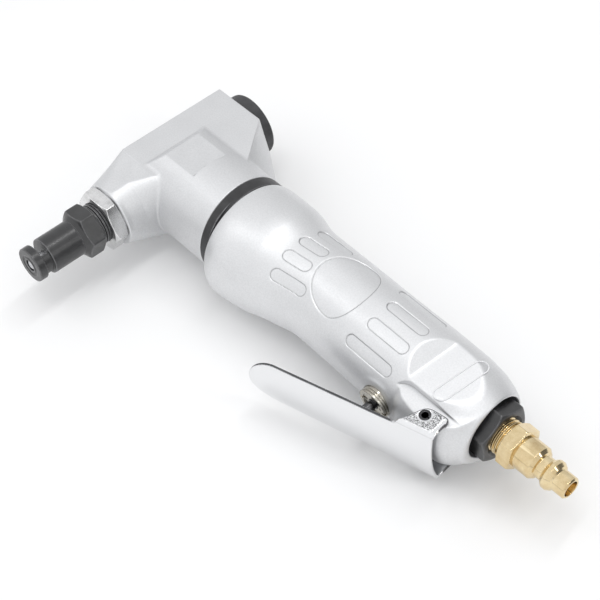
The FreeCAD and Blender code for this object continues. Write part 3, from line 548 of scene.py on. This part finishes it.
MATERIALS = {
    "head_casting": cast_aluminium("head_cast_metal", (0.735, 0.74, 0.75), (0.70, 0.705, 0.715), 0.46),
    "grip_casting": cast_aluminium("grip_cast_metal", (0.765, 0.77, 0.78), (0.735, 0.74, 0.75), 0.42),
    "dark_cap": black_oxide("cap_black", 0.50, 0.034, 0.2),
    "ring_black": black_oxide("ring_black", 0.42, 0.022, 0.25),
    "black_steel": black_oxide("black_steel", 0.31, 0.013, 0.3, 0.75),
    "pin_black": turned_metal("pin_dark_steel", (0.10, 0.10, 0.105), (0.05, 0.05, 0.052), 0.25),
    "stem_steel": turned_metal("stem_dark_steel", (0.14, 0.14, 0.145), (0.07, 0.07, 0.073), 0.2),
    "nut_steel": turned_metal(
        "nut_zinc", (0.84, 0.84, 0.84), (0.64, 0.64, 0.64), 0.16, stain=0.2, stain_tint=(0.2, 0.2, 0.2)
    ),
    "tool_steel": turned_metal("tool_steel", (0.60, 0.605, 0.62), (0.52, 0.525, 0.54), 0.28),
    "bearing_steel": turned_metal("bearing_steel", (0.68, 0.685, 0.70), (0.62, 0.625, 0.64), 0.18),
    "spring_steel": turned_metal("spring_steel", (0.55, 0.555, 0.57), (0.45, 0.455, 0.47), 0.3),
    "lever_chrome": chrome("lever_chrome"),
    "bushing_nickel": turned_metal(
        "bushing_nickel", (0.58, 0.56, 0.50), (0.40, 0.37, 0.32), 0.2,
        stain=0.55, stain_tint=(0.10, 0.085, 0.06),
    ),
    "brass": turned_metal(
        "plug_brass", (0.84, 0.70, 0.44), (0.66, 0.50, 0.27), 0.13, stain=0.12, stain_tint=(0.35, 0.22, 0.08)
    ),
    "bronze": turned_metal("sintered_bronze", (0.55, 0.38, 0.2), (0.42, 0.28, 0.14), 0.45),
    "seal_rubber": plain_rubber("seal_rubber", (0.012, 0.012, 0.012)),
    "vane_composite": plain_rubber("vane_composite", (0.22, 0.13, 0.07)),
}
SLOT_OF = {s["node"]: s["material_slot"] for s in frame["record"]["subparts"]}


def dress(obj, slot_name, body, *nodes):
    """Give a piece its material and its body, and hide the CAD nodes that it stands for."""
    obj.data.materials.clear()
    obj.data.materials.append(MATERIALS[slot_name])
    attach(obj, body)
    if nodes:
        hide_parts(*nodes)
    return obj


# ------------------------------------------------------------------ head casting
def head_nose(x, y, z):
    """Taper from the round seat of the nut to the block's square end; each quarter has its own rounding."""
    t = np.clip((y - NOSE_FACE_Y) / 15.8, 0.0, 1.3)
    s = np.minimum(t, 1.0)
    front = x < 0
    crown = (x >= 0) & (z > 0)
    reach = np.where(front, NOSE_R - 0.7 * s, NOSE_R + 1.1 * t)
    flat_z = NOSE_R + 1.8 * s
    start = smooth(t / 0.15)
    half_z = np.where(crown, flat_z + 0.7 * start, flat_z)
    low_r = np.where(front, NOSE_R - 10.6 * s ** 1.25, NOSE_R - 7.5 * t)
    low_r = np.maximum(np.minimum(low_r, np.minimum(reach, half_z) - 0.01), 0.7)
    radius = np.where(crown, NOSE_R + 2.0 * start - 9.2 * np.clip(t - 0.5, 0.0, 0.8), low_r)
    qx, qz = np.abs(x) - reach + radius, np.abs(z) - half_z + radius
    d = np.sqrt(np.maximum(qx, 0) ** 2 + np.maximum(qz, 0) ** 2) + np.minimum(np.maximum(qx, qz), 0) - radius
    d = smax(d, z - flat_z, 0.15)
    return smax(d * 0.95, NOSE_FACE_Y - y, 0.6)


# bores about the grip's axis: radius, from x, to x
HEAD_BORES = [
    (8.4, 0.0, 14.0), (14.0, 13.0, 21.0), (9.0, 20.0, 28.0), (15.6, 27.2, 60.0), (17.05, 33.0, 60.0),
]


def head_field(x, y, z):
    az = np.abs(z)
    # block and the web that runs back to the barrel
    edge_x = 11.5 + (BLOCK_BACK_Y - y) * 0.745
    ridge_x = 16.2 + (BLOCK_BACK_Y - y) * 1.53
    toward_ridge = 1 - np.minimum(az, BLOCK_HALF) / BLOCK_HALF
    web_x = np.minimum(edge_x + (ridge_x - edge_x) * toward_ridge, 36.0)
    body = np.maximum((x - web_x) * 0.66, -6.0 - y)
    body = smin(body, np.maximum(x - 4.0, -15.2 - y), 0.1)
    body = smax(body, az - BLOCK_HALF, 0.25)
    body = smax(body, -11.3 - x, 0.8)
    body = smax(body, y - BLOCK_BACK_Y, 0.5)
    nose = np.maximum(head_nose(x, y, z), y + 10.0)
    casting = np.minimum(body, nose)
    # barrel with its sloped start and the small flat on each side
    r = np.sqrt(y * y + z * z)
    ramp = (az - 13.0 - x * 0.93) * 0.732
    barrel = smax(r - BARREL_R, ramp, 0.5)
    flat_cut = np.maximum(np.maximum(17.75 - az, x - 20.6), np.abs(y) - 9.0)
    barrel = smax(barrel, -flat_cut, 0.12)
    barrel = np.maximum(barrel, -2.0 - x)
    fillet = 0.35 + 0.6 * smooth((-y - 10.0) / 5.0) + 0.5 * smooth((y - 8.0) / 5.0)
    casting = smin(casting, barrel, fillet)
    casting = smax(casting, x - HEAD_END_X, 0.35)
    # bores
    ry = np.sqrt(x * x + z * z)
    casting = smax(casting, -np.maximum(ry - 8.05, -27.4 - y), 0.05)
    casting = smax(casting, -np.maximum(ry - 7.75, y + 20.0), 0.05)
    casting = smax(casting, -np.maximum(ry - 9.8, 26.0 - y), 0.1)
    for radius, x0, x1 in HEAD_BORES:
        casting = np.maximum(casting, -np.maximum(r - radius, slab(x, x0, x1)))
    return casting


def build_head():
    head = field_piece(
        "head_casting", head_field, (-12.5, -32.6, -20.0), (37.2, 32.2, 20.0), 0.28,
        masks=crease_masks(head_field),
    )
    dress(head, "head_casting", "housing", "head_housing")


def build_cap():
    """Screw cap of the ram's bore, with two holes for a pin spanner."""
    def cap(x, y, z):
        r = np.sqrt(x * x + z * z)
        d = smax(r - CAP_R, y - CAP_FACE_Y, 1.6)
        d = smax(d, 31.7 - y, 0.5)
        d = np.minimum(d, np.maximum(r - 9.75, slab(y, 26.6, 32.0)))
        d = np.maximum(d, -np.maximum(r - 7.4, y - 30.5))
        for side in (-6.5, 6.5):
            d = smax(d, -np.maximum(rod(x, z, 1.6, side), 34.7 - y), 0.3)
        return d

    piece = field_piece("rear_screw_cap", cap, (-13, 26, -13), (13, 38, 13), 0.22, masks=crease_masks(cap))
    dress(piece, "dark_cap", "housing", "rear_cap")


# ------------------------------------------------------------------ nut, die holder, die
def build_nut():
    def nut(x, y, z):
        r = np.sqrt(x * x + z * z)
        d = smax(hex_bar(x, z, NUT_HEX, 0.0, 0.25), slab(y, NUT_FACE_Y, NOSE_FACE_Y), 0.3)
        d = smax(d, corner_trim(r, y, NUT_FACE_Y, NOSE_FACE_Y, 10.4, 0.9, 1.75), 0.15)
        return np.maximum(d, 7.75 - r)

    piece = field_piece("lock_nut_hex", nut, (-12.6, -37.2, -11), (12.6, -30.9, 11), 0.16)
    dress(piece, "nut_steel", "housing", "lock_nut")


def build_holder():
    """Die holder: thread, hexagon and a taper down to the die."""
    def holder(x, y, z):
        r = np.sqrt(x * x + z * z)
        d = smax(hex_bar(x, z, HOLDER_HEX, 11.0, 0.5), slab(y, *HOLDER_HEX_Y), 0.3)
        d = smax(d, corner_trim(r, y, *HOLDER_HEX_Y, 8.4, 0.7, 1.4), 0.3)
        taper = (r - DIE_R - (y - DIE_SHOULDER_Y) * 0.96) * 0.72
        taper = np.maximum(taper, slab(y, DIE_SHOULDER_Y, -45.9))
        turns = (y + 37.2) / 1.1
        thread = (r - 7.7 + 0.55 * (1 - smooth(np.abs(turns - np.round(turns)) * 4.0))) * 0.7
        thread = np.maximum(thread, slab(y, -39.6, -31.6))
        d = smin(np.minimum(d, thread), taper, 0.3)
        bore = np.where(y < -36.0, 5.6, 2.5)
        return np.maximum(d, bore - r)

    piece = field_piece(
        "die_holder_sleeve", holder, (-10.2, -48.0, -9.8), (10.2, -31.0, 9.8), 0.16,
        masks=crease_masks(holder),
    )
    dress(piece, "black_steel", "die_head", "die_holder")


def build_die():
    """Die: barrel, a throat half closed by its neck, and the cutting disc."""
    neck_turn = math.radians(38.0)

    def die(x, y, z):
        r = np.sqrt(x * x + z * z)
        barrel = smax(r - DIE_R, slab(y, -60.2, -47.42), 0.35)
        shank = np.maximum(r - 5.55, slab(y, -48.0, -36.6))
        across = x * math.cos(neck_turn) - z * math.sin(neck_turn)
        neck = smax(r - 5.7, -0.7 - across, 0.3)
        neck = np.maximum(neck, slab(y, -64.0, -60.0))
        disc = smax(r - 6.6, slab(y, DIE_FACE_Y, -63.3), 0.5)
        dish = np.maximum(rod(r, y, 0.75, 3.6, -67.05), -1.0)
        d = smin(np.minimum(barrel, shank), neck, 0.25)
        d = smin(d, disc, 0.25)
        d = smax(d, -dish, 0.2)
        return smax(d, 2.26 - r, 0.2)

    piece = field_piece(
        "die_slotted", die, (-7.4, -67.0, -7.4), (7.4, -36.0, 7.4), 0.15, masks=crease_masks(die)
    )
    dress(piece, "black_steel", "die_head", "die")


def build_punch():
    outline = [
        (-17.1, 0), (-17.1, 2.95), (-23.0, 2.95), (-23.0, 2.2), (-65.4, 2.2), (-66.1, 1.75), (-66.3, 1.2),
        (-66.3, 0),
    ]
    dress(turned("punch_pin", outline, "Y", soft=0.3, segments=48), "tool_steel", "ram_body", "punch")


# ------------------------------------------------------------------ ring between head and grip
def build_ring():
    """Black band that narrows at one place around its rim."""
    def ring(x, y, z):
        r = np.sqrt(y * y + z * z)
        turn = np.arctan2(-y, z) - math.radians(42.0)
        gap = 0.9 * smooth(1.0 - np.abs(turn) / 0.5)
        step = gap * smooth((x - 39.6 - 0.4 * np.abs(turn)) / 0.2)
        d = smax(r - BARREL_R + step, slab(x, 36.22, 41.18), 0.25)
        d = np.minimum(d, np.maximum(r - 17.0, slab(x, 34.0, 37.0)))
        bore = np.where(x < 36.6, 15.3, 17.8)
        return np.maximum(d, bore - r)

    piece = field_piece("ring_band", ring, (33.5, -20, -20), (42, 20, 20), 0.24, masks=crease_masks(ring))
    dress(piece, "ring_black", "housing", "ring_gear")


# ------------------------------------------------------------------ grip casting
# x, centre y, half width along Y, half thickness along Z
GRIP = [
    (41.2, -1.1, 20.6, 19.4), (43.6, -1.8, 21.9, 19.8), (46.0, -2.2, 22.5, 20.0),
    (49.0, -2.3, 22.6, 20.08), (53.0, -2.1, 22.3, 20.08), (57.0, -1.9, 21.9, 20.0),
    (60.5, -1.9, 21.3, 19.6), (64.0, -1.9, 20.3, 18.8), (68.0, -1.7, 19.4, 18.1),
    (73.0, -1.2, 18.7, 17.8), (80.0, -0.4, 17.8, 17.6), (90.0, -0.4, 17.7, 17.5),
    (105.0, -0.7, 17.8, 17.5), (120.0, -0.9, 17.9, 17.5), (135.0, -1.1, 17.9, 17.5),
    (146.0, -1.3, 17.6, 16.8), (151.5, -1.4, 16.9, 15.2), (155.5, -1.5, 15.7, 14.0),
    (158.2, -1.4, 14.3, 13.1), (159.6, -1.3, 13.2, 12.6),
]
# x at the start of each finger pad, x at its end, angle from the crown in degrees
PADS = [(68.3, 80.0, 12.7), (69.0, 84.0, 38.0), (109.0, 127.0, 15.0), (106.0, 127.0, 45.0)]
# x, radius of the lug under the grip
LUG = [
    (129.0, 14.0), (133.0, 19.0), (138.0, 20.7), (148.0, 20.7), (152.5, 19.6), (155.8, 17.2), (158.4, 13.6),
]


def from_pin(x, y):
    """Distance from the lever pin's axis."""
    return np.sqrt((x - PIN_X) ** 2 + (y - PIN_Y) ** 2)


def pads(x, s):
    """Distances to the nearest finger pad and to the thumb oval; s is the arc across the crown."""
    best = None
    for x0, x1, angle in PADS:
        centre = math.radians(angle) * PAD_ARC_R
        d = obround(x - (x0 + x1) / 2, np.abs(s) - centre, (x1 - x0) / 2, PAD_HALF)
        best = d if best is None else np.minimum(best, d)
    along = x - 94.5
    scale = np.where(along < 0, 13.2, 8.4)
    q = np.sqrt((along / scale) ** 2 + (s / 13.4) ** 2)
    egg = (q - 1.0) * 10.0
    return best, egg


def grip_field(x, y, z):
    az = np.abs(z)
    centre, half_y, half_z = curve(GRIP, 1, x), curve(GRIP, 2, x), curve(GRIP, 3, x)
    v = y - centre
    r = np.sqrt(v * v + z * z) + 1e-6
    q = np.sqrt((v / half_y) ** 2 + (z / half_z) ** 2) + 1e-6
    d = r * (1 - 1 / q)
    arc = np.arctan2(v, az) * PAD_ARC_R
    bars, egg = pads(x, arc)
    top = smooth((az - 6.0) / 3.0)
    d = d + 0.32 * (1 - smooth((bars + 0.22) / 0.44)) * top
    d = d + 0.40 * (1 - smooth((egg + 0.25) / 0.5)) * top
    d = smax(d, x - GRIP_END_X, 1.2)
    d = smax(d, GRIP_START_X - x, 0.5)
    # lug that carries the lever, and the boss around the valve bushing
    ring_r = np.sqrt(y * y + z * z)
    lug = smax(ring_r - curve(LUG, 1, x), slab(x, 130.0, 158.4), 1.0)
    lug = np.maximum(smax(lug, az - 11.7, 0.8), y + 5.0)
    d = smin(d, lug, 1.5)
    br = np.sqrt((x - VALVE_X) ** 2 + z * z)
    boss = smax(br - 7.2 + (y + 16.4) * -0.12, -16.4 - y, 0.8)
    boss = np.maximum(boss, y + 8.0)
    d = smin(d, boss, 2.4)
    # steps for the lever's cheeks
    corner = obround(x - 152.4, y + 31.6, 23.0, 20.0, 6.5)
    cheek = smax(11.7 - az, corner, 0.5)
    d = smax(d, -cheek, 0.35)
    # flat facet with a sloped front
    u = FACET_X + 0.10 * y - x
    height = FACET_Z + 0.29 * (np.sqrt(u * u + 0.25) + u)
    d = smax(d, (az - height) * 0.93, 0.45)
    # openings
    d = np.maximum(d, -np.maximum(ring_r - 15.6, x - 84.0))
    d = smax(d, -np.maximum(ring_r - 11.7, 149.6 - x), 1.0)
    d = np.maximum(d, -np.maximum(ring_r - 8.4, 139.0 - x))
    d = np.maximum(d, -np.maximum(ring_r - 5.0, slab(x, 116.0, 140.0)))
    d = np.maximum(d, -np.maximum(ring_r - 2.4, slab(x, 83.0, 117.0)))
    d = smax(d, -np.maximum(br - 6.0, y + 8.0), 0.3)
    d = np.maximum(d, -np.maximum(br - 2.3, y))
    d = np.maximum(d, 1.92 - from_pin(x, y))
    for angle in (-45.0, 0.0, 45.0):
        a = math.radians(angle)
        hole = rod(y, z, 1.9, 12.9 * math.cos(a), 12.9 * math.sin(a))
        d = np.maximum(d, -np.maximum(hole, slab(x, 83.0, 150.0)))
    return d


def build_grip():
    grip = field_piece(
        "grip_casting", grip_field, (40.6, -26.0, -20.8), (160.4, 21.2, 20.8), 0.26,
        handle=True, masks=crease_masks(grip_field),
    )
    dress(grip, "grip_casting", "housing", "grip_housing")

    def label_line(x, y, z):
        lu = (x - 146.0 - 0.13 * (y + 0.9)) * 0.99
        line = np.abs(obround(lu, y + 0.8, 2.5, 10.2)) - 0.2
        return smax(line, slab(z, FACET_Z - 0.3, FACET_Z + 0.22), 0.1)

    line = field_piece(
        "grip_label_line", label_line, (141.6, -12.0, 14.0), (150.8, 10.4, 15.0), 0.09, handle=True
    )
    dress(line, "grip_casting", "housing")


# ------------------------------------------------------------------ lever and valve
SLOPE = math.atan(0.264)
ARCH_R, SAG, SHEET, CHEEK = 39.0, 1.9, 1.2, 12.0
TIP_U, TIP_R, FLARE = 6.7, 10.8, 0.0154
CHEEK_LINE = [
    (141.0, -27.0), (141.3, -22.8), (142.4, -18.9), (143.8, -15.4), (145.4, -13.9), (147.4, -13.4),
    (152.4, -12.9), (153.0, -13.5), (153.4, -24.0), (147.0, -27.0),
]


def blade_axes(x, y):
    """Along the blade and across its thickness."""
    dx, dy = x - 90.0, y + 38.28
    return dx * math.cos(SLOPE) + dy * math.sin(SLOPE), -dx * math.sin(SLOPE) + dy * math.cos(SLOPE)


def arch_radius(v, z):
    """Distance from the axis that the blade's cross-section curves about."""
    return np.sqrt((v - (ARCH_R - SAG)) ** 2 + z * z)


def half_width(u):
    return TIP_R + np.clip(u - TIP_U, 0, None) * FLARE


def blade_plan(u, z, width):
    """Distance to the blade's outline seen from above: a round tip and two sides."""
    return np.where(u < TIP_U, np.sqrt((u - TIP_U) ** 2 + z * z) - TIP_R, np.abs(z) - width)


def lever_field(x, y, z):
    az = np.abs(z)
    u, v = blade_axes(x, y)
    rho = arch_radius(v, z)
    width = half_width(u) + (CHEEK + SHEET - 11.5) * smooth((u - 51.0) / 2.6)
    plan = smax(blade_plan(u, z, width), u - 65.6, 0.8)
    outside = rho - ARCH_R
    shell = smax(outside, ARCH_R - SHEET - rho, 0.5)
    blade = smax(shell, plan, 0.5)
    blade = smax(blade, v - 8.0, 0.1)
    side = convex(x, y, CHEEK_LINE, 0.8)
    plate = smax(np.abs(az - CHEEK - SHEET / 2) - SHEET / 2, side, 0.35)
    cheek = smax(plate, outside, 0.9)
    d = smin(blade, cheek, 0.9)
    d = smax(d, smax(outside, az - CHEEK - SHEET, 1.5), 0.01)
    notch = np.sqrt((x - 154.3) ** 2 + (y + 21.6) ** 2) - 0.9
    d = smax(d, -np.maximum(notch, 11.2 - az), 0.3)
    return smax(d, 1.96 - from_pin(x, y), 0.2)


def rim_mask(x, y, z):
    """Cut edges of the sheet."""
    u, v = blade_axes(x, y)
    rho = arch_radius(v, z)
    plan = blade_plan(u, z, half_width(u))
    shell = np.maximum(rho - ARCH_R, ARCH_R - SHEET - rho)
    blade = smooth((plan - shell - 0.05) / 0.15) * smooth((52.0 - u) / 2.0)
    ear = smooth((convex(x, y, CHEEK_LINE, 0.8) + 0.42) / 0.14) * smooth((v - 3.0) / 0.5)
    return np.maximum(blade, ear)


def pitted_mask(x, y, z):
    """Outer face of each cheek, inside a plain border and clear of the pin."""
    side = convex(x, y, CHEEK_LINE, 0.8)
    u, v = blade_axes(x, y)
    inset = smooth((-side - 0.4) / 0.2) * smooth((151.6 - x) / 0.3) * smooth((v - 1.6) / 0.4)
    away = smooth((from_pin(x, y) - 2.5) / 0.25)
    return inset * away * smooth((np.abs(z) - 13.0) / 0.1)


def build_lever():
    lever = field_piece(
        "lever_pressing", lever_field, (84.5, -42.5, -14.2), (156.0, -11.8, 14.2), 0.22,
        handle=True, masks={"pitted": pitted_mask, "rim": rim_mask},
    )
    dress(lever, "lever_chrome", "lever", "throttle_lever")


def build_lever_pin():
    """Rolled spring pin, slit along its length."""
    def pin(x, y, z):
        d = smax(np.abs(from_pin(x, y) - 1.52) - 0.38, np.abs(z) - 13.2, 0.25)
        slit = np.maximum(np.abs(y - PIN_Y) - 0.2, PIN_X + 0.4 - x)
        return smax(d, -slit, 0.1)

    piece = field_piece("lever_roll_pin", pin, (143.6, -19.2, -13.8), (148.2, -14.6, 13.8), 0.11, handle=True)
    dress(piece, "pin_black", "housing", "lever_pin")


def build_valve_bushing():
    def bush(x, y, z):
        r = rod(x, z, 0.0, VALVE_X)
        groove = 0.3 * (1 - smooth(np.abs(y + 19.9) / 0.26)) + 0.3 * (1 - smooth(np.abs(y + 19.0) / 0.26))
        d = smax(r - 5.98 + groove, slab(y, -20.9, -8.2), 0.35)
        d = smax(d, -smax(r - 4.3, y + 20.3, 0.3), 0.3)
        slot = np.maximum(np.abs(z) - 0.6, y + 19.6)
        d = smax(d, -np.maximum(slot, 2.8 - r), 0.2)
        d = np.maximum(d, 2.06 - r)
        return np.maximum(d, -np.maximum(r - 3.3, slab(y, -13.2, -11.6)))

    piece = field_piece(
        "valve_bush_turned", bush, (118.0, -21.4, -6.6), (131.0, -7.6, 6.6), 0.14, handle=True
    )
    dress(piece, "bushing_nickel", "housing", "valve_bushing")


def build_stem():
    outline = [
        (-4.6, 0), (-4.6, 1.4), (-5.2, 2.0), (-20.5, 2.0), (-20.6, 1.55), (-21.3, 1.55), (-21.4, 2.0),
        (-24.2, 2.0), (-24.3, 1.6), (-24.9, 1.6), (-25.0, 2.0), (-28.5, 2.0), (-29.2, 1.5), (-29.55, 0.8),
        (-29.55, 0),
    ]
    piece = turned("valve_stem_turned", outline, "Y", (VALVE_X, 0.0), 0.12, 48, handle=True)
    dress(piece, "stem_steel", "stem", "valve_stem")


# ------------------------------------------------------------------ inlet bushing and air plug
def build_inlet_bushing():
    end = INLET_HEX_X[1]

    def bushing(x, y, z):
        r = np.sqrt(y * y + z * z)
        d = smax(hex_bar(y, z, INLET_HEX, 30.0, 0.5), slab(x, *INLET_HEX_X), 0.5)
        d = smax(d, corner_trim(r, x, *INLET_HEX_X, 9.4, 1.0, 1.55), 0.35)
        d = np.minimum(d, np.maximum(r - 8.4, slab(x, 139.2, 151.0)))
        d = smax(d, -np.maximum(r - 6.7, 152.0 - x), 0.2)
        d = np.maximum(d, -np.maximum(r - 5.4, x - 152.2))
        return smax(d, -np.maximum((r - 7.9 + (end - x)) * 0.7, 162.3 - x), 0.15)

    piece = field_piece(
        "inlet_hex_bushing", bushing, (138.6, -11.6, -11.2), (165.8, 11.6, 11.2), 0.17,
        handle=True, masks=crease_masks(bushing),
    )
    dress(piece, "black_steel", "housing", "inlet_bushing")


def build_air_plug():
    """Brass plug: threaded end, shank, waist, rounded collar and plain nose, with its hexagon apart."""
    thread = []
    for k in range(9):
        x = 154.6 + 1.35 * k
        thread += [(x, 6.6), (x + 0.35, 6.0), (x + 0.7, 6.0), (x + 1.05, 6.6)]
    outer = [(154.0, 2.5), (154.0, 6.2), (154.3, 6.6)] + thread + [(166.9, 6.6), (167.2, 6.0)]
    outer += [
        (171.2, 6.0), (171.6, 6.0), (171.6, 5.95), (178.0, 5.95), (179.2, 5.0), (179.5, 4.1), (182.0, 4.1),
        (182.5, 4.8), (183.4, 5.4), (184.7, 5.4), (185.9, 4.7), (186.5, 3.95), (190.9, 3.95), (191.4, 3.45),
        (191.4, 2.9), (188.0, 2.5),
    ]
    piece = turned("air_plug_turned", outer, "X", soft=0.22, segments=96, handle=True)
    dress(piece, "brass", "housing", "hose_plug")

    def nut(x, y, z):
        r = np.sqrt(y * y + z * z)
        d = smax(hex_bar(y, z, PLUG_HEX, 12.0, 0.35), slab(x, *PLUG_HEX_X), 0.3)
        d = smax(d, corner_trim(r, x, *PLUG_HEX_X, 7.0, 0.6, 1.25), 0.2)
        return np.maximum(d, 5.7 - r)

    piece = field_piece("air_plug_hex", nut, (165.9, -8.8, -8.8), (173.1, 8.8, 8.8), 0.13, handle=True)
    dress(piece, "brass", "housing", "hose_plug")


# ------------------------------------------------------------------ studio
CAMERA_ANGLES = (49.93, 49.59, -2.80)
CAMERA_AT = (352.89, -241.13, 423.65)
LENS = 98.02


def camera():
    turn, lift, roll = (math.radians(a) for a in CAMERA_ANGLES)
    back = Vector((math.sin(turn) * math.cos(lift), -math.cos(turn) * math.cos(lift), math.sin(lift)))
    right = Vector((math.cos(turn), math.sin(turn), 0.0))
    up = back.cross(right)
    right_rolled = right * math.cos(roll) + up * math.sin(roll)
    up_rolled = up * math.cos(roll) - right * math.sin(roll)
    data = bpy.data.cameras.new("camera")
    data.sensor_width = 36.0
    data.lens = LENS
    data.clip_end = 10.0
    obj = bpy.data.objects.new("camera", data)
    rotation = Matrix((right_rolled, up_rolled, back)).transposed().to_4x4()
    at = tool_to_part(np.array(CAMERA_AT))
    obj.matrix_world = Matrix.Translation(Vector(at)) @ rotation
    bpy.context.scene.collection.objects.link(obj)
    bpy.context.scene.camera = obj


def area_light(name, at, target, size, power, size_y=None):
    data = bpy.data.lights.new(name, "AREA")
    data.energy = power
    data.size = size
    if size_y:
        data.shape = "RECTANGLE"
        data.size_y = size_y
    obj = bpy.data.objects.new(name, data)
    obj.location = at
    obj.rotation_euler = (Vector(target) - Vector(at)).to_track_quat("-Z", "Y").to_euler()
    bpy.context.scene.collection.objects.link(obj)


def build_floor():
    """Pale floor, a little darker far away: light painted as a pool around the tool, fading out with distance."""
    mesh = bpy.data.meshes.new("floor")
    size = 3.0
    corners = [(-size, -size, 0), (size, -size, 0), (size, size, 0), (-size, size, 0)]
    mesh.from_pydata(corners, [], [(0, 1, 2, 3)])
    floor = bpy.data.objects.new("floor", mesh)
    floor.location.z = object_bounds()[0][2] - 0.0005
    bpy.context.scene.collection.objects.link(floor)
    k = Kit("floor_white")
    # painted light: the floor's colour is brightest near the tool and darker far away, a painted pool of light
    far = k.ramp(k.distance(), 0.22, 0.75, 0.0, 1.0)
    k.set("Base Color", k.mix(far, (0.93, 0.93, 0.93), (0.52, 0.52, 0.52)))
    k.set("Roughness", 0.9)
    k.set("Specular IOR Level", 0.1)
    mesh.materials.append(k.material)


def build_world():
    """Even white room, brighter on the lever's side, with a dark patch opposite for the metal to reflect."""
    world = bpy.data.worlds.new("studio")
    bpy.context.scene.world = world
    world.use_nodes = True
    tree = world.node_tree
    coords = tree.nodes.new("ShaderNodeTexCoord")
    slope = tree.nodes.new("ShaderNodeVectorMath")
    slope.operation = "DOT_PRODUCT"
    slope.inputs[1].default_value = (0.0, -0.16, 0.05)
    tree.links.new(coords.outputs["Generated"], slope.inputs[0])
    level = tree.nodes.new("ShaderNodeMath")
    level.inputs[1].default_value = 0.89
    tree.links.new(slope.outputs["Value"], level.inputs[0])
    background = tree.nodes["Background"]
    toward = tree.nodes.new("ShaderNodeVectorMath")
    toward.operation = "DOT_PRODUCT"
    toward.inputs[1].default_value = Vector((0.70, 0.68, 0.20)).normalized()
    tree.links.new(coords.outputs["Generated"], toward.inputs[0])
    dark = tree.nodes.new("ShaderNodeMapRange")
    dark.interpolation_type = "SMOOTHSTEP"
    dark.inputs["From Min"].default_value = 0.72
    dark.inputs["From Max"].default_value = 0.93
    dark.inputs["To Min"].default_value = 1.0
    dark.inputs["To Max"].default_value = 0.22
    tree.links.new(toward.outputs["Value"], dark.inputs["Value"])
    shaded = tree.nodes.new("ShaderNodeMath")
    shaded.operation = "MULTIPLY"
    tree.links.new(level.outputs["Value"], shaded.inputs[0])
    tree.links.new(dark.outputs["Result"], shaded.inputs[1])
    tree.links.new(shaded.outputs["Value"], background.inputs["Strength"])
    background.inputs["Color"].default_value = (0.985, 0.99, 1.0, 1.0)
    bpy.context.scene.view_settings.view_transform = "Standard"
    bpy.context.scene.view_settings.look = "None"


def build_lights():
    area_light("key", (-0.01, 0.06, 0.80), (0.0, 0.0, 0.0), 0.05, 1.45, 0.8)
    area_light("second", (0.51, 0.21, 0.44), (-0.05, 0.0, 0.0), 0.035, 0.35, 0.35)
    area_light("side", (-0.39, -0.23, 0.60), (0.05, 0.0, 0.0), 0.05, 0.2, 0.3)


def dress_cad_nodes():
    """The nodes that stay as CAD meshes get their materials too."""
    for node, obj in frame["nodes"].items():
        slots = obj.data.materials
        if not slots:
            slots.append(None)
        for i in range(len(slots)):
            slots[i] = MATERIALS[SLOT_OF[node]]


camera()
build_head()
build_cap()
build_nut()
build_holder()
build_die()
build_punch()
build_ring()
build_grip()
build_lever()
build_lever_pin()
build_valve_bushing()
build_stem()
build_inlet_bushing()
build_air_plug()
dress_cad_nodes()
build_floor()
build_world()
build_lights()
